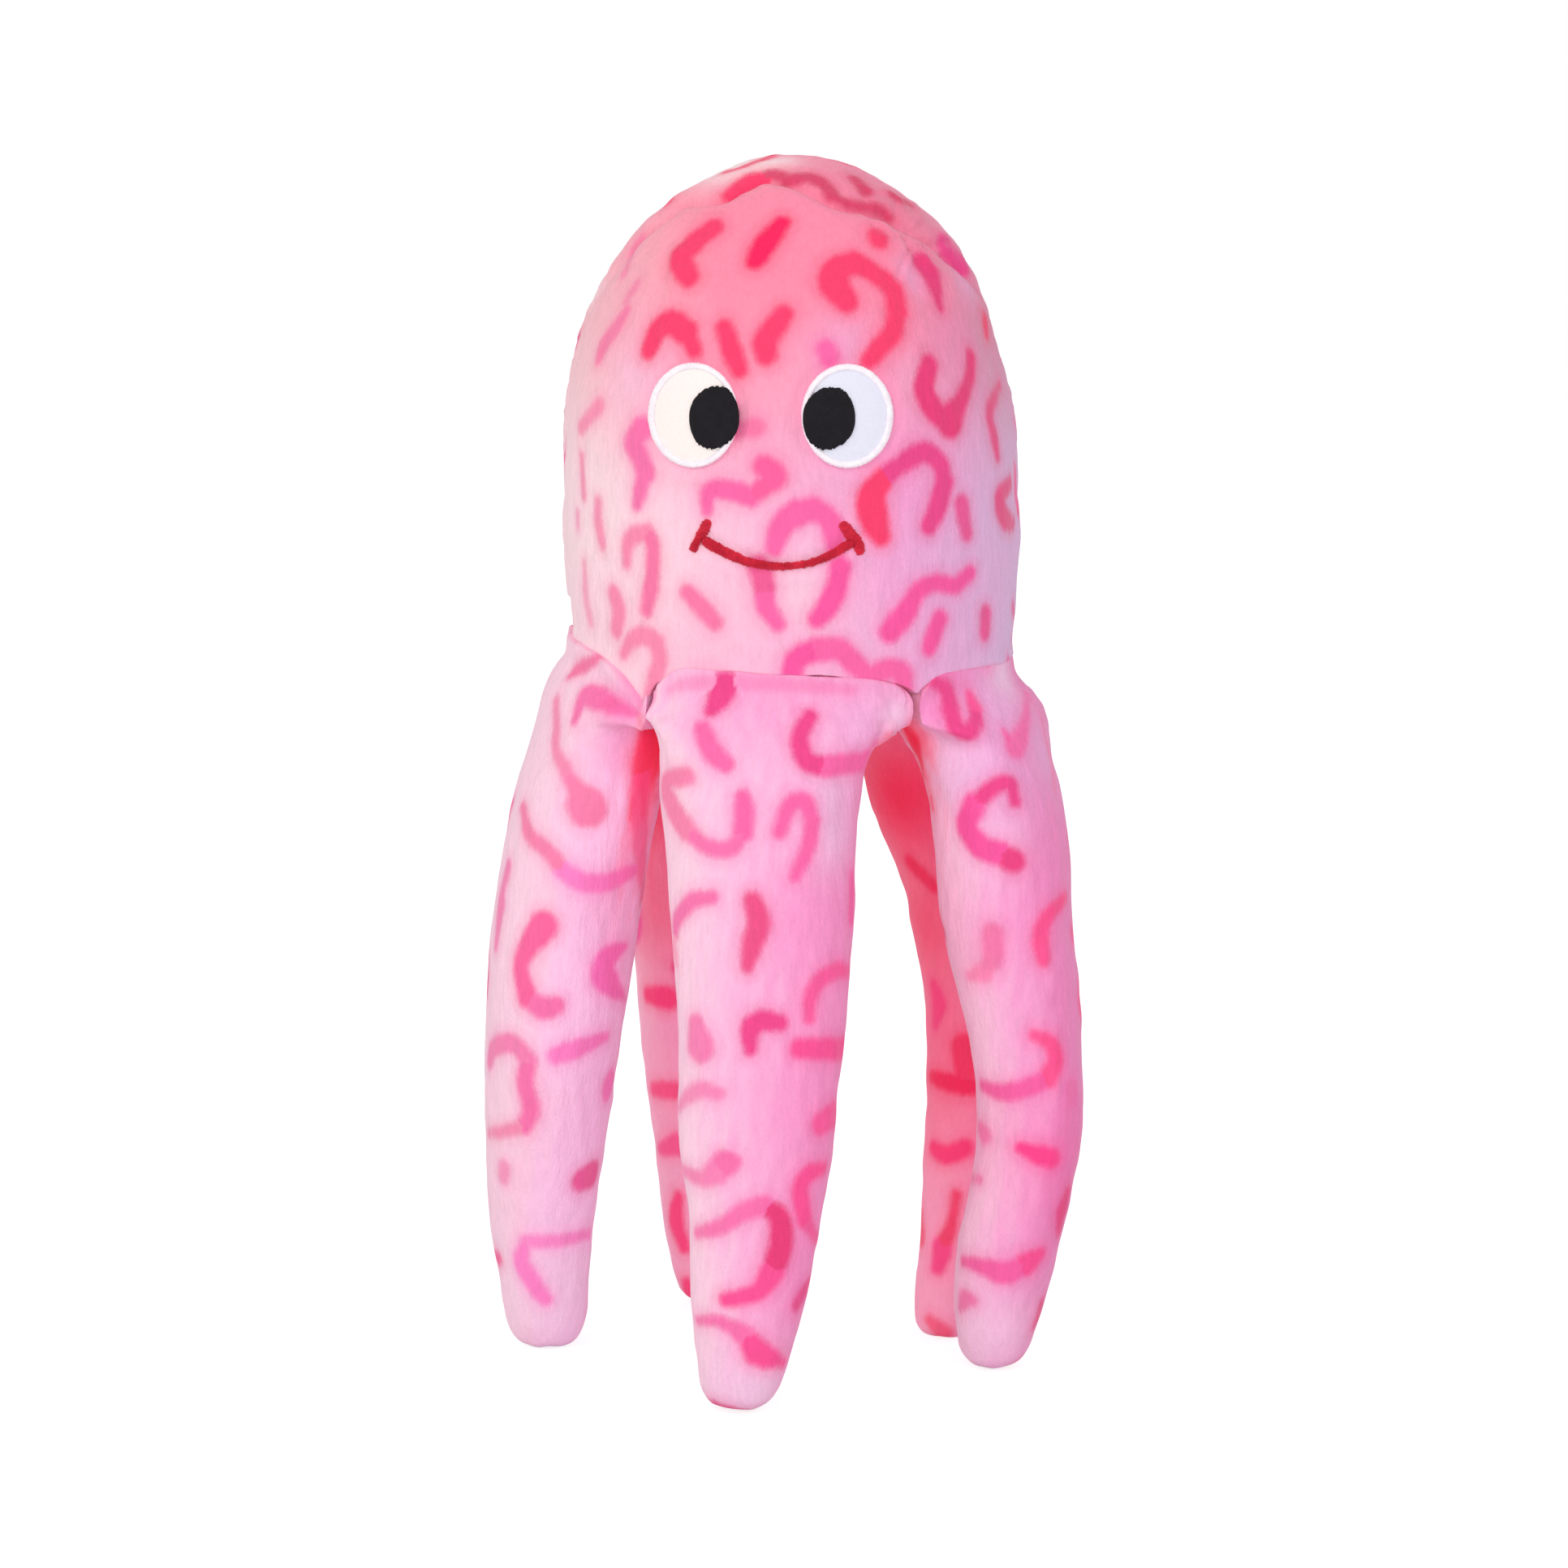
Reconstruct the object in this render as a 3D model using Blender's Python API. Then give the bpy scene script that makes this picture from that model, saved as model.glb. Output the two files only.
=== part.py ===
"""Plush jellyfish dog toy: a stuffed dome head that stands on five stuffed tentacles.

The head is one sewn and filled bag, with a crown seam from side to side, two darts in its
front panel and a gathered bottom seam. Each tentacle is a filled tube. Its root is a wedge
that is sewn to the head and pressed against its neighbours, and it narrows to a tip with a
small flat foot. The eyes and the mouth are thin sewn patches that follow the face.

Metres, +Z up. The front of the toy faces -Y, and the floor is at Z = 0.
"""

import math
from collections import namedtuple

import bmesh
import bpy
from mathutils import Vector

# Head
SEAM_HEIGHT = 0.1745  # floor to the bottom seam, at the toy's sides
HEAD_HEIGHT = 0.1195  # bottom seam to the crown
HEAD_WIDTH = 0.1130
HEAD_DEPTH = 0.1000
DOME_HEIGHT = 0.0710  # crown to the level where the wall turns upright
DOME_POINT = 1.06  # 1 is a round crown, and more is a more pointed one
HEAD_SWAY = 0.0010  # how far the soft head's middle leans to the toy's right side
SEAM_LEAN = 0.080  # rise of the bottom seam for each metre towards the back
SEAM_ROLL = -0.045  # rise of the bottom seam for each metre towards +X
SEAM_TUCK = 0.0020  # how far the wall draws in at the bottom seam
SEAM_TUCK_HEIGHT = 0.0085
EAR_BULGE = 0.0014  # the corner where the crown seam turns down at each side
EAR_ANGLE = math.radians(41)  # from the crown
EAR_SPREAD = math.radians(8)

# Crown seam and darts
CROWN_SEAM_FORWARD = 0.0200
CROWN_SEAM_SKEW = 0.12
SEAM_GROOVE_DEPTH = 0.0011
SEAM_GROOVE_WIDTH = 0.0032
DART_DEPTH = 0.0014
DART_WIDTH = 0.0034
DART_AZIMUTH = math.radians(46)
DART_TOP = math.radians(37)  # from the crown
DART_END = math.radians(60)

# Tentacles
TENTACLE_COUNT = 5
TENTACLE_SPACING = 2 * math.pi / TENTACLE_COUNT
SHOULDER_WIDTH = 0.0500  # widths run round the toy, thicknesses away from its axis
SHOULDER_THICKNESS = 0.0350
MIDDLE_WIDTH = 0.0450
MIDDLE_THICKNESS = 0.0350
KNEE_WIDTH = 0.0390
KNEE_THICKNESS = 0.0310
ANKLE_WIDTH = 0.0290
ANKLE_THICKNESS = 0.0255
TIP_WIDTH = 0.0218
TIP_THICKNESS = 0.0210
SHOULDER_DROP = 0.0265  # below the bottom seam
MIDDLE_DROP = 0.0695
KNEE_DROP = 0.1095
ANKLE_DROP = 0.1465
TIP_ROUNDING = 0.0095
FOOT_SHARE = 0.62  # the flat foot's share of the tip's width
ROOT_PLACE = 0.60  # the root's centre, as a share of the way from the axis to the wall
ROOT_INNER = 0.0080  # the roots leave this radius free round the axis
WEDGE_SOFTNESS = 13  # more makes the corners of the roots' wedges sharper
WEB_EDGE = 0.0090  # below the seam, down to where a root keeps its wedge
WEB_DEPTH = 0.0240  # below the seam, where a root has become a round tube
FLARE = 0.0300  # the routes' unit: how far a tentacle's centre line wanders from its root's

# Each route is a tentacle's centre line at its shoulder, middle, knee, ankle and foot. A point
# is (x, y) from the centre of the tentacle's root, as shares of FLARE. Fullness is a share of
# the widths and thicknesses above, at the same five places. Halves are the turns from a root's
# azimuth to its wedge's left and right edges.
HALF = TENTACLE_SPACING / 2
FRONT_WIDER = math.radians(6.5)  # the front root takes this much more of the seam on its right
Tentacle = namedtuple("Tentacle", "name azimuth halves fullness route")
TENTACLES = (
    Tentacle(
        "tentacle_front",
        math.radians(-7),
        (HALF, HALF + FRONT_WIDER),
        (1.0, 1.0, 1.0, 1.0, 0.94),
        ((-0.083, -0.340), (-0.097, -0.673), (-0.130, -0.873), (-0.197, -1.023), (-0.283, -1.073)),
    ),
    Tentacle(
        "tentacle_right",
        math.radians(-7) + TENTACLE_SPACING,
        (HALF - FRONT_WIDER, HALF),
        (0.88, 0.86, 0.80, 0.99, 0.89),
        ((0.557, -0.293), (0.733, -0.393), (0.923, -0.443), (0.713, -0.443), (0.590, -0.410)),
    ),
    Tentacle(
        "tentacle_rear_right",
        math.radians(-7) + 2 * TENTACLE_SPACING,
        (HALF, HALF),
        (0.86, 0.86, 0.86, 0.86, 0.86),
        ((0.463, 0.270), (0.783, 0.270), (0.880, 0.070), (0.663, -0.397), (0.507, -0.617)),
    ),
    Tentacle(
        "tentacle_rear_left",
        math.radians(-7) - 2 * TENTACLE_SPACING,
        (HALF, HALF),
        (0.90, 0.90, 0.90, 0.90, 0.90),
        ((-0.153, 0.393), (-0.220, 0.560), (-0.213, 0.527), (-0.187, 0.393), (-0.133, 0.293)),
    ),
    Tentacle(
        "tentacle_left",
        math.radians(-7) - TENTACLE_SPACING,
        (HALF, HALF),
        (1.0, 1.02, 1.03, 1.0, 1.0),
        ((-0.467, -0.093), (-0.757, -0.093), (-0.897, -0.077), (-0.960, -0.010), (-0.923, 0.023)),
    ),
)

# Face
FACE_AZIMUTH = math.radians(-5.4)
EYE_HEIGHT = 0.2335  # above the floor
EYE_SPACING = 0.0360  # between the eyes' centres, along the face
EYE_DIAMETER = 0.0240  # over the rim
RIM_WIDTH = 0.0015
PUPIL_WIDTH = 0.0122
PUPIL_HEIGHT = 0.0146
PUPIL_INSET = 0.0040  # towards the middle of the face
MOUTH_HEIGHT = 0.2016  # the lowest point of the smile, above the floor
MOUTH_WIDTH = 0.0350
MOUTH_SAG = 0.0062
MOUTH_SHIFT = 0.0012
TICK_LENGTH = 0.0092
TICK_LEAN = math.radians(28)
STITCH_WIDTH = 0.0023
PATCH_THICKNESS = 0.0008
STITCH_THICKNESS = 0.0010

# Clearance between pieces that touch
GAP = 0.0003

# Fineness of the meshes
HEAD_SEGMENTS = 56
DOME_RINGS = 16
WALL_RINGS = 7
TENTACLE_SEGMENTS = 24
TUBE_RINGS = 12
ROOT_RINGS = 6
TIP_RINGS = 4
PATCH_SEGMENTS = 28
SMILE_STEPS = 18
TICK_STEPS = 5

# Colour, roughness
PLUSH = ((0.93, 0.62, 0.77), 0.95)
WHITE_CLOTH = ((0.93, 0.87, 0.91), 0.85)
WHITE_THREAD = ((0.95, 0.90, 0.93), 0.55)
BLACK_THREAD = ((0.05, 0.04, 0.05), 0.50)
RED_THREAD = ((0.80, 0.08, 0.18), 0.50)


def remove_old_objects():
    for old in list(bpy.data.objects):
        bpy.data.objects.remove(old, do_unlink=True)


def material(name, look):
    colour, roughness = look
    made = bpy.data.materials.new(name)
    made.use_nodes = True
    shader = made.node_tree.nodes["Principled BSDF"]
    shader.inputs["Base Color"].default_value = (*colour, 1.0)
    shader.inputs["Roughness"].default_value = roughness
    shader.inputs["Metallic"].default_value = 0.0
    return made


def add_object(name, shape, look, parent):
    """Turns a bmesh into a named object of its own material, smooth apart from sharp edges."""
    bmesh.ops.recalc_face_normals(shape, faces=shape.faces)
    mesh = bpy.data.meshes.new(name)
    shape.to_mesh(mesh)
    shape.free()
    mesh.shade_smooth()
    mesh.set_sharp_from_angle(angle=math.radians(50))
    mesh.materials.append(material(name + "_finish", look))
    made = bpy.data.objects.new(name, mesh)
    bpy.context.scene.collection.objects.link(made)
    made.parent = parent
    return made


def loft(rings, tips=(None, None)):
    """A closed skin over rings of equal count. Each end is a point, or flat where tips has None."""
    shape = bmesh.new()
    rows = [[shape.verts.new(point) for point in ring] for ring in rings]
    for upper, lower in zip(rows, rows[1:]):
        bridge(shape, upper, lower)
    for row, tip in ((rows[0], tips[0]), (rows[-1], tips[1])):
        if tip is None:
            shape.faces.new(row)
        else:
            end = shape.verts.new(tip)
            for here, after in zip(row, row[1:] + row[:1]):
                shape.faces.new((here, after, end))
    return shape


def bridge(shape, upper, lower):
    """Faces between two rings of vertices."""
    for i in range(len(upper)):
        j = (i + 1) % len(upper)
        shape.faces.new((upper[i], upper[j], lower[j], lower[i]))


def smooth_step(share):
    share = min(max(share, 0.0), 1.0)
    return share * share * (3 - 2 * share)


def bump(distance, width):
    return math.exp(-((distance / width) ** 2))


# Head


def head_outline(azimuth):
    """Half the head's width in plan, as a vector from the axis. Azimuth 0 is the front."""
    return Vector((HEAD_WIDTH / 2 * math.sin(azimuth), -HEAD_DEPTH / 2 * math.cos(azimuth), 0))


def seam_height(x, y, share=1.0):
    """The bottom seam's height at a place in plan. Below the seam, share fades its lean out."""
    return SEAM_HEIGHT + (SEAM_LEAN * y + SEAM_ROLL * x) * share


def crown_groove(x, y, angle):
    """Depth of the crown seam's groove, which runs from ear to ear just in front of the crown."""
    across = min(abs(x) / (HEAD_WIDTH / 2), 1.0)
    seam_y = -(CROWN_SEAM_FORWARD + CROWN_SEAM_SKEW * x) * math.sqrt(1 - across**2)
    return SEAM_GROOVE_DEPTH * bump((y - seam_y) * math.cos(angle / 2), SEAM_GROOVE_WIDTH)


def dart_groove(azimuth, angle):
    """Depth of the front panel's darts, which run down from the crown seam and fade out."""
    along = (angle - DART_TOP) / (DART_END - DART_TOP)
    if along > 1:
        return 0.0
    fade = 1 - smooth_step(along)
    sideways = (abs(azimuth) - DART_AZIMUTH) * HEAD_WIDTH / 2 * math.sin(angle)
    above = max(0.0, DART_TOP - angle) * DOME_HEIGHT
    return DART_DEPTH * fade * bump(sideways, DART_WIDTH) * bump(above, DART_WIDTH)


def wall_levels():
    """Drops below the crown of the wall's rings, closer together where it draws in at the seam."""
    wall = HEAD_HEIGHT - DOME_HEIGHT - SEAM_TUCK_HEIGHT
    upright = [DOME_HEIGHT + wall * (i + 1) / WALL_RINGS for i in range(WALL_RINGS)]
    return upright + [HEAD_HEIGHT - SEAM_TUCK_HEIGHT * (1 - share) for share in (0.45, 0.8, 1.0)]


def head_point(azimuth, drop):
    """A point of the head's skin, drop metres below the crown."""
    if drop < DOME_HEIGHT:
        angle = math.acos(1 - drop / DOME_HEIGHT)
    else:
        angle = math.pi / 2
    reach = math.sin(angle) ** DOME_POINT
    wall = head_outline(azimuth) * reach
    out = head_outline(azimuth).normalized()
    ear = EAR_BULGE * bump(angle - EAR_ANGLE, EAR_SPREAD) * math.sin(azimuth) ** 6
    into_tuck = max(0.0, 1 - (HEAD_HEIGHT - drop) / SEAM_TUCK_HEIGHT)
    place = wall + out * (ear - SEAM_TUCK * into_tuck**2)
    place.x -= HEAD_SWAY * math.sin(math.pi * drop / HEAD_HEIGHT)
    groove = crown_groove(wall.x, wall.y, angle) + dart_groove(azimuth, angle)
    inward = Vector((out.x * math.sin(angle), out.y * math.sin(angle), math.cos(angle)))
    lean = seam_height(place.x, place.y) - SEAM_HEIGHT
    lean *= smooth_step(drop / HEAD_HEIGHT)
    place.z = SEAM_HEIGHT + HEAD_HEIGHT - drop + lean
    return place - inward * groove


def ring_of(point, count, level):
    return [point(2 * math.pi * i / count, level) for i in range(count)]


def add_head(parent):
    angles = [math.pi / 2 * (i + 1) / DOME_RINGS for i in range(DOME_RINGS)]
    drops = [DOME_HEIGHT * (1 - math.cos(angle)) for angle in angles] + wall_levels()
    rings = [ring_of(head_point, HEAD_SEGMENTS, drop) for drop in drops]
    for place in rings[-1]:
        place.z = seam_height(place.x, place.y) + GAP
    crown = Vector((0, 0, SEAM_HEIGHT + HEAD_HEIGHT))
    return add_object("head", loft(rings, (crown, None)), PLUSH, parent)


# Tentacles


def between(levels, values, level):
    """A smooth curve through values given at falling levels, by cubic pieces."""
    last = len(levels) - 1
    k = 0
    while k < last - 1 and level < levels[k + 1]:
        k += 1
    span = levels[k + 1] - levels[k]
    share = min(max((level - levels[k]) / span, 0.0), 1.0)

    def slope(i):
        before, after = max(i - 1, 0), min(i + 1, last)
        return (values[after] - values[before]) / (levels[after] - levels[before]) * span

    rise = values[k + 1] - values[k]
    curve = share * slope(k)
    curve += share**2 * (3 * rise - 2 * slope(k) - slope(k + 1))
    curve += share**3 * (slope(k) + slope(k + 1) - 2 * rise)
    return values[k] + curve


def stations():
    drops = (0.0, SHOULDER_DROP, MIDDLE_DROP, KNEE_DROP, ANKLE_DROP, SEAM_HEIGHT)
    return [SEAM_HEIGHT - drop for drop in drops]


def root_centre(azimuth):
    return head_outline(azimuth) * ROOT_PLACE


def centre_at(tentacle, height):
    offsets = [Vector((0, 0, 0))] + [Vector((x, y, 0)) * FLARE for x, y in tentacle.route]
    return root_centre(tentacle.azimuth) + between(stations(), offsets, height)


def tube_size(tentacle, height):
    widths = (SHOULDER_WIDTH, SHOULDER_WIDTH, MIDDLE_WIDTH, KNEE_WIDTH, ANKLE_WIDTH, TIP_WIDTH)
    depths = (SHOULDER_THICKNESS, SHOULDER_THICKNESS, MIDDLE_THICKNESS, KNEE_THICKNESS)
    depths += (ANKLE_THICKNESS, TIP_THICKNESS)
    width = between(stations(), widths, height)
    depth = between(stations(), depths, height)
    into_tip = max(0.0, 1 - height / TIP_ROUNDING)
    share = FOOT_SHARE + (1 - FOOT_SHARE) * math.sqrt(1 - into_tip**2)
    share *= between(stations(), tentacle.fullness[:1] + tentacle.fullness, height)
    return width * share, depth * share


def heading_of(tentacle, turn):
    """The level direction that is turned by turn from the one away from the toy's axis."""
    away = root_centre(tentacle.azimuth).normalized()
    along = away.x * math.cos(turn) - away.y * math.sin(turn)
    return Vector((along, away.x * math.sin(turn) + away.y * math.cos(turn), 0))


def tube_reach(tentacle, turn, height):
    """Distance from a tentacle's centre line to its skin. Turn 0 points away from the toy."""
    width, depth = tube_size(tentacle, height)
    return 1 / math.hypot(math.sin(turn) / (width / 2), math.cos(turn) / (depth / 2))


def wedge_reach(tentacle, turn):
    """Distance from a root's centre to the edge of its wedge, with softened corners."""
    centre = root_centre(tentacle.azimuth)
    heading = heading_of(tentacle, turn)
    half_x, half_y = HEAD_WIDTH / 2 - SEAM_TUCK, HEAD_DEPTH / 2 - SEAM_TUCK
    a = (heading.x / half_x) ** 2 + (heading.y / half_y) ** 2
    b = centre.x * heading.x / half_x**2 + centre.y * heading.y / half_y**2
    c = (centre.x / half_x) ** 2 + (centre.y / half_y) ** 2 - 1
    edges = [(math.sqrt(b * b - a * c) - b) / a]
    for side, half in zip((-1, 1), tentacle.halves):
        opening = side * math.sin(turn) * math.cos(half) - math.cos(turn) * math.sin(half)
        room = centre.length * math.sin(half) - GAP
        edges.append(room / max(opening, 1e-6))
    edges.append((centre.length - ROOT_INNER) / max(-math.cos(turn), 1e-6))
    return sum(edge**-WEDGE_SOFTNESS for edge in edges) ** (-1 / WEDGE_SOFTNESS)


def keep_in_wedge(place, tentacle, share):
    """Presses a point flat on the plane between two tentacles where it would cross it."""
    for side, half in zip((-1, 1), tentacle.halves):
        edge = tentacle.azimuth + side * half
        normal = Vector((math.cos(edge), math.sin(edge), 0)) * side
        past = place.dot(normal) + GAP / 2
        if past > 0:
            place = place - normal * past * share
    return place


def tentacle_point(tentacle, turn, height):
    """A point of a tentacle's skin. The root is a wedge, and lower down it is a round tube."""
    drop = SEAM_HEIGHT - height
    roundness = smooth_step((drop - WEB_EDGE) / (WEB_DEPTH - WEB_EDGE))
    reach = wedge_reach(tentacle, turn) * (1 - roundness)
    reach += tube_reach(tentacle, turn, height) * roundness
    place = centre_at(tentacle, height) + heading_of(tentacle, turn) * reach
    pressed = 1 - smooth_step((drop - WEB_DEPTH) / WEB_DEPTH)
    place = keep_in_wedge(place, tentacle, pressed)
    share = 1 - smooth_step(drop / (2 * WEB_DEPTH))
    place.z = seam_height(place.x, place.y, share) - drop
    return place


def tentacle_levels():
    """Heights of a tentacle's rings, closer together at its root and at its rounded tip."""
    root = [SEAM_HEIGHT - WEB_DEPTH * (i / ROOT_RINGS) ** 1.5 for i in range(ROOT_RINGS + 1)]
    tube_step = (root[-1] - TIP_ROUNDING) / TUBE_RINGS
    tube = [root[-1] - tube_step * (i + 1) for i in range(TUBE_RINGS)]
    turns = [math.pi / 2 * (i + 1) / TIP_RINGS for i in range(TIP_RINGS)]
    tip = [TIP_ROUNDING * (1 - math.sin(turn)) for turn in turns]
    return root + tube + tip


def add_tentacle(tentacle, parent):
    def point(turn, height):
        return tentacle_point(tentacle, turn, height)

    rings = [ring_of(point, TENTACLE_SEGMENTS, height) for height in tentacle_levels()]
    return add_object(tentacle.name, loft(rings), PLUSH, parent)


# Face


def face_point(across, height, lift):
    """A place on the face, lift metres above the skin. Across is measured along the face."""
    drop = SEAM_HEIGHT + HEAD_HEIGHT - height
    reach = math.sqrt(1 - max(0.0, 1 - drop / DOME_HEIGHT) ** 2)
    azimuth = FACE_AZIMUTH + across / (HEAD_WIDTH / 2 * reach)
    small = 1e-4
    here = head_point(azimuth, drop)
    sideways = head_point(azimuth + small, drop) - here
    down = head_point(azimuth, drop + small) - here
    return here - sideways.cross(down).normalized() * lift


def patch_ring(centre, half_width, half_height, lift):
    ring = []
    for i in range(PATCH_SEGMENTS):
        turn = 2 * math.pi * i / PATCH_SEGMENTS
        across = centre[0] + half_width * math.sin(turn)
        ring.append(face_point(across, centre[1] + half_height * math.cos(turn), lift))
    return ring


def add_patch(name, centre, size, base, look, parent):
    """A thin oval of cloth or thread that follows the face, base metres above the skin."""
    top, edge = base + PATCH_THICKNESS, base + PATCH_THICKNESS / 2
    layers = ((0.45, top), (0.85, top), (1.0, edge), (1.0, base), (0.85, base), (0.45, base))
    rings = []
    for share, lift in layers:
        rings.append(patch_ring(centre, size[0] / 2 * share, size[1] / 2 * share, lift))
    tips = (face_point(*centre, top), face_point(*centre, base))
    return add_object(name, loft(rings, tips), look, parent)


def add_rim(name, centre, parent):
    """A raised satin-stitched ring round an eye."""
    outer, inner = EYE_DIAMETER / 2, EYE_DIAMETER / 2 - RIM_WIDTH
    middle = (outer + inner) / 2
    profile = (
        (outer, GAP),
        (outer, GAP + STITCH_THICKNESS * 0.6),
        (middle, GAP + STITCH_THICKNESS * 1.3),
        (inner, GAP + STITCH_THICKNESS * 0.6),
        (inner, GAP),
    )
    shape = bmesh.new()
    rows = []
    for radius, lift in profile:
        rows.append([shape.verts.new(p) for p in patch_ring(centre, radius, radius, lift)])
    for row, after in zip(rows, rows[1:] + rows[:1]):
        bridge(shape, row, after)
    return add_object(name, shape, WHITE_THREAD, parent)


def add_bar(name, path, width, parent):
    """A bar of satin stitches along a path of face places, round on top and flat below."""
    half = width / 2
    profile = (
        (-half, GAP),
        (-half, GAP + STITCH_THICKNESS * 0.5),
        (0.0, GAP + STITCH_THICKNESS),
        (half, GAP + STITCH_THICKNESS * 0.5),
        (half, GAP),
    )
    rings = []
    for k, place in enumerate(path):
        ahead = path[min(k + 1, len(path) - 1)] - path[max(k - 1, 0)]
        side = Vector((-ahead.y, ahead.x)).normalized()
        rings.append([face_point(*(place + side * out), lift) for out, lift in profile])
    return add_object(name, loft(rings), RED_THREAD, parent)


def eye_centre(side):
    return (side * EYE_SPACING / 2, EYE_HEIGHT)


def add_eye(side, word, parent):
    centre = eye_centre(side)
    white = EYE_DIAMETER - 2 * RIM_WIDTH - 2 * GAP
    add_patch("eye_white_" + word, centre, (white, white), GAP, WHITE_CLOTH, parent)
    add_rim("eye_rim_" + word, centre, parent)
    on_white = 2 * GAP + PATCH_THICKNESS
    pupil_centre = (centre[0] - side * PUPIL_INSET, centre[1])
    size = (PUPIL_WIDTH, PUPIL_HEIGHT)
    add_patch("pupil_" + word, pupil_centre, size, on_white, BLACK_THREAD, parent)


def smile_place(share):
    """A place along the smile. Share runs from -1 at its left end to 1 at its right end."""
    half = MOUTH_WIDTH / 2 - STITCH_WIDTH / 2 - GAP
    return Vector((MOUTH_SHIFT + share * half, MOUTH_HEIGHT + MOUTH_SAG * share**2))


def add_mouth(parent):
    smile = [smile_place(2 * i / SMILE_STEPS - 1) for i in range(SMILE_STEPS + 1)]
    add_bar("smile", smile, STITCH_WIDTH, parent)
    for side, word in ((-1, "left"), (1, "right")):
        lean = Vector((side * math.sin(TICK_LEAN), -math.cos(TICK_LEAN)))
        clear = STITCH_WIDTH / 2 * (1 + 1 / math.cos(TICK_LEAN)) + 2 * GAP
        middle = smile_place(side) + Vector((side * clear, 0))
        steps = [i / TICK_STEPS - 0.5 for i in range(TICK_STEPS + 1)]
        path = [middle + lean * TICK_LENGTH * step for step in steps]
        add_bar("smile_tick_" + word, path, STITCH_WIDTH, parent)


def centre_on_floor(toy):
    """Moves the whole toy so that the middle of its plan lies on the axis."""
    places = [vertex.co for piece in toy.children for vertex in piece.data.vertices]
    for axis in (0, 1):
        values = [place[axis] for place in places]
        toy.location[axis] = -(min(values) + max(values)) / 2


def build():
    remove_old_objects()
    toy = bpy.data.objects.new("toy", None)
    bpy.context.scene.collection.objects.link(toy)
    add_head(toy)
    for tentacle in TENTACLES:
        add_tentacle(tentacle, toy)
    for side, word in ((-1, "left"), (1, "right")):
        add_eye(side, word, toy)
    add_mouth(toy)
    centre_on_floor(toy)


build()
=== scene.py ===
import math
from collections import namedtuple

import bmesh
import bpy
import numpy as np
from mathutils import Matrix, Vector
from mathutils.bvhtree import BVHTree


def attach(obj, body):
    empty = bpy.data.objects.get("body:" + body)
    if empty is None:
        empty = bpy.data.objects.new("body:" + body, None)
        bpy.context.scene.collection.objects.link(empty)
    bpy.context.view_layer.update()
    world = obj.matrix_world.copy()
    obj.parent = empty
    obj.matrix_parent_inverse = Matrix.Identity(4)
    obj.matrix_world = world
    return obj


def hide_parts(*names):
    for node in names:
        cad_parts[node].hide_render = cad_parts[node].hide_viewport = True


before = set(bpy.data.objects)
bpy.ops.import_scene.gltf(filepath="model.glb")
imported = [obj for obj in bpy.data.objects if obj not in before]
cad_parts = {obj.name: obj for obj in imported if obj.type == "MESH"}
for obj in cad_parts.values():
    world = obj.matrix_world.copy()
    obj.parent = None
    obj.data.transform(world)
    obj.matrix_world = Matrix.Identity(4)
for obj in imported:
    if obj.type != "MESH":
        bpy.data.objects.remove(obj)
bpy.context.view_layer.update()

# Looks of the plush jellyfish dog toy.
#
# Each stuffed piece starts as a copy of its CAD solid. It is remeshed, blown up by cloth
# pressure between its sewn lines, refined, and given its seams, gathers, folds and nap. The
# leopard-style marks are strokes: along each one, rays from the photograph's camera find the
# cloth, and the cloth near the stroke takes its colour. The cloth that the camera doesn't see
# gets marks of the same kind from a seeded scatter. The face is sewn on: cloth discs, satin
# stitched rims, pupils and mouth, all laid on the finished head.
#
# Metres, +Z up, front towards -Y. A pixel is a pixel of the 1932 x 1932 photograph.

# Camera of the photograph
PHOTO_SIZE = 1932
PIXEL = 0.0002  # metres to a pixel at the aim's distance
AIM = Vector((0.0005, 0.0065, 0.1400))
EYE = Vector((0.0005, -0.9935, 0.2734))
SENSOR = 36.0

# The toy's upright axis in plan, and its bottom seam
AXIS = Vector((0.0025, 0.0065, 0.0))
SEAM_HEIGHT = 0.1745
SEAM_LEAN = 0.080
SEAM_ROLL = -0.045

# Padding
VOXEL = 0.0030
SHRINK = 0.0006  # the padding starts this much inside the CAD skin
SWELL_LIMIT = 0.0010  # and may move this far when it is blown up
PRESSURE = 4.0
SWELL_STEPS = 20
SEWN_WIDTH = 0.0022  # vertices this close to a sewn line don't move
SEWN_SHALLOW = 0.3  # and start this share nearer to the CAD skin
REFINEMENT = 2

# Each dip of the bottom seam: azimuth, depth, and its width to the left and to the right of it
Dip = namedtuple("Dip", "azimuth depth left right")
DIPS = (
    Dip(-43, 0.0105, 10, 3.0),
    Dip(-37.5, 0.0030, 3, 3.5),
    Dip(35.5, 0.0045, 6, 4),
    Dip(101, 0.0045, 8, 8),
    Dip(173, 0.0050, 9, 9),
    Dip(-115, 0.0045, 8, 8),
)
DIP_REACH = 0.020  # how far above and below the seam the cloth follows a dip
DIP_RAMP = (0.015, 0.020)  # outwards from the axis: start and width

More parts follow.
